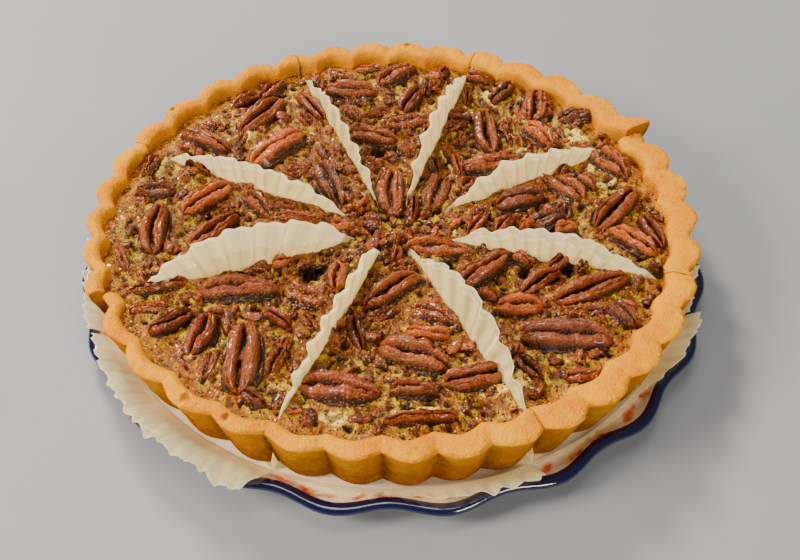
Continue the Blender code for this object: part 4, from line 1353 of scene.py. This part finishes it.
def build_paper_finish():
    """Cloudy cream, with painted shade on one side of each pleat."""
    soft = {"Subsurface_Weight": 1.0, "Subsurface_Scale": 0.0015, "Subsurface_Radius": (1.0, 0.95, 0.85)}
    glow = {"Emission_Color": (1.0, 0.80, 0.36, 1.0), "Emission_Strength": 0.16}
    made, tree, shader = finish_named("greaseproof paper", 0.6, Specular_IOR_Level=0.2, Alpha=0.62,
                                      **soft, **glow)
    cloud = effect(tree, MOTTLING, "Mask", Size=9.0, Seed=1.0, Share=0.5, Softness=0.25)
    colour = mix(tree, cloud, PAPER_COLOURS["cream"], PAPER_COLOURS["pale cream"])
    shade = maths(tree, "MULTIPLY", between(tree, mask(tree, "pleat_shade"), 0.35, 0.95), 0.7)
    feed(tree, shader.inputs["Base Color"], mix(tree, shade, colour, PAPER_COLOURS["pleat_shade"]))
    bump(tree, shader, effect(tree, GRAIN, "Height", Size=1.6, Seed=3.0, Fine=1.2), 0.05)
    return made


PAPER_FINISH = build_paper_finish()
papers = [build_paper(k) for k in range(SLICES)]
print("papers:", len(papers))

# %% [markdown]
# ## The dish
# The dish is shallow stoneware with a lobed edge. A turned profile gives the form, and the lobes
# pull its outer rings in and out. The rim is rolled and dipped in dark blue glaze, and the cream
# inside has a ring of loose orange brush dabs, of which only a few show beside the papers.

# %% Dish shape
DISH_LOBES = 20
LOBE_DEPTH = 3.4
LOBE_OUT = 0.8
LOBE_RISE = 0.9
DISH_COLUMNS = 400
# Rings from the middle underneath, out and round to the middle of the floor: radius, height, lobes, blue
DISH_RINGS = (
    (2, 3.4, 0, 0), (40, 3.2, 0, 0), (77, 3.0, 0, 0), (79, 1.8, 0, 0), (80, 0.5, 0, 0), (81.5, 0, 0, 0),
    (85.5, 0, 0, 0), (87.5, 0.6, 0, 0), (100, 1.8, 0, 0), (112, 2.7, 0.1, 0), (118, 3.4, 0.3, 0),
    (123, 4.9, 0.6, 0), (127, 6.6, 0.9, 1), (129.4, 8.0, 1, 1), (130.4, 9.2, 1, 1), (130.2, 10.3, 1, 1),
    (129.2, 11.0, 1, 1), (127.8, 11.1, 1, 1), (126.4, 10.6, 0.95, 1), (125.6, 10.0, 0.9, 0),
    (124.9, 9.6, 0.85, 0), (123.6, 8.9, 0.7, 0), (122, 8.1, 0.5, 0), (120, 7.6, 0.25, 0), (117, 7.45, 0, 0),
    (100, 7.4, 0, 0), (60, 7.4, 0, 0), (2, 7.4, 0, 0))
DABS = 84
DAB_RING = 123.4


def brush_dabs(points, rng):
    """1 where a dab of paint lies, 0 elsewhere: slanting ovals in a loose ring inside the rim."""
    dab = np.zeros(len(points))
    for i in range(DABS):
        at = 360 * i / DABS + rng.uniform(-1.5, 1.5)
        x, y, _ = polar(DAB_RING + rng.uniform(-1.8, 1.8), at, 0.0)
        length, width, slant = rng.uniform(5, 10), rng.uniform(2.2, 4.2), rng.uniform(-35, 35)
        far = oval(points[:, 0], points[:, 1], x, y, length, width, at + 90 + slant)
        dab = np.maximum(dab, 1 - step(far, 0.7, 1.1))
    return dab * (points[:, 2] > DISH_FLOOR)


def build_dish(rng):
    """The whole dish, from under its foot round the rolled rim to the middle of its floor."""
    angle = np.linspace(0, 360, DISH_COLUMNS, endpoint=False)
    lobe = (1 + np.cos(np.radians(DISH_LOBES * (angle + 90)))) / 2
    rows, blue = [], []
    for radius, height, lobed, dipped in DISH_RINGS:
        out = radius + lobed * (LOBE_OUT - LOBE_DEPTH * lobe)
        rows.append(polar(out, angle, height + LOBE_RISE * lobed * (lobe - 0.4)))
        blue.append(np.full(DISH_COLUMNS, float(dipped)))
    points = np.concatenate(rows)
    faces = grid(len(rows), DISH_COLUMNS, closed=True)
    last = (len(rows) - 1) * DISH_COLUMNS
    faces.append(tuple(reversed(range(DISH_COLUMNS))))
    faces.append(tuple(last + i for i in range(DISH_COLUMNS)))
    masks = {"blue": np.concatenate(blue), "dab": brush_dabs(points, rng)}
    return piece("glazed_dish", points, faces, DISH_FINISH, ["dish"], masks, 60)


# %% [markdown]
# The glaze is glossy, cream with faint warm clouds. The paint shows its brush streaks, and the rim's
# blue is so dark that only its highlights look blue.

# %% Dish finish
DISH_COLOURS = {
    "cream": srgb(238, 224, 198), "warm cream": srgb(228, 208, 176), "paint": srgb(236, 150, 30),
    "streak": srgb(206, 66, 10), "blue": srgb(7, 14, 56)}


def build_dish_finish():
    """Cream glaze, then streaky paint, then the blue rim."""
    made, tree, shader = finish_named("glazed stoneware", 0.12, Coat_Weight=0.5, Coat_Roughness=0.05)
    wander = effect(tree, MOTTLING, "Mask", Size=14.0, Seed=2.0, Share=0.5, Softness=0.3)
    colour = mix(tree, wander, DISH_COLOURS["cream"], DISH_COLOURS["warm cream"])
    streak = effect(tree, MOTTLING, "Mask", Size=2.4, Seed=5.0, Share=0.7, Softness=0.2)
    paint = mix(tree, streak, DISH_COLOURS["paint"], DISH_COLOURS["streak"])
    streaky = maths(tree, "ADD", 0.7, maths(tree, "MULTIPLY", streak, 0.4))
    dabs = maths(tree, "MULTIPLY", mask(tree, "dab"), streaky, clamp=True)
    colour = mix(tree, dabs, colour, paint)
    colour = mix(tree, between(tree, mask(tree, "blue"), 0.3, 0.7), colour, DISH_COLOURS["blue"])
    feed(tree, shader.inputs["Base Color"], colour)
    waves = effect(tree, MOTTLING, "Mask", Size=6.0, Seed=7.0, Share=0.5, Softness=0.3)
    bump(tree, shader, waves, 0.06)
    return made


DISH_FINISH = build_dish_finish()
dish = build_dish(rng)
print("dish points:", len(dish.data.vertices))

# %% [markdown]
# ## Sizes
# The largest difference between the visual model's box and the imported model's box is printed,
# with the count of triangles. The visual model has to keep to the imported model's box.

# %% Sizes
final_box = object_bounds()
ready = bpy.context.evaluated_depsgraph_get()
triangles = {item.name: sum(len(face.vertices) - 2 for face in item.evaluated_get(ready).data.polygons)
             for item in bpy.context.scene.objects if item.type == "MESH"}
growth = np.abs(np.array(final_box) - np.array(CAD_BOX)) / MM
print("triangles in all:", sum(triangles.values()), "most in one piece:", max(triangles.values()))
print("largest difference between the boxes in mm:", growth.max().round(2))
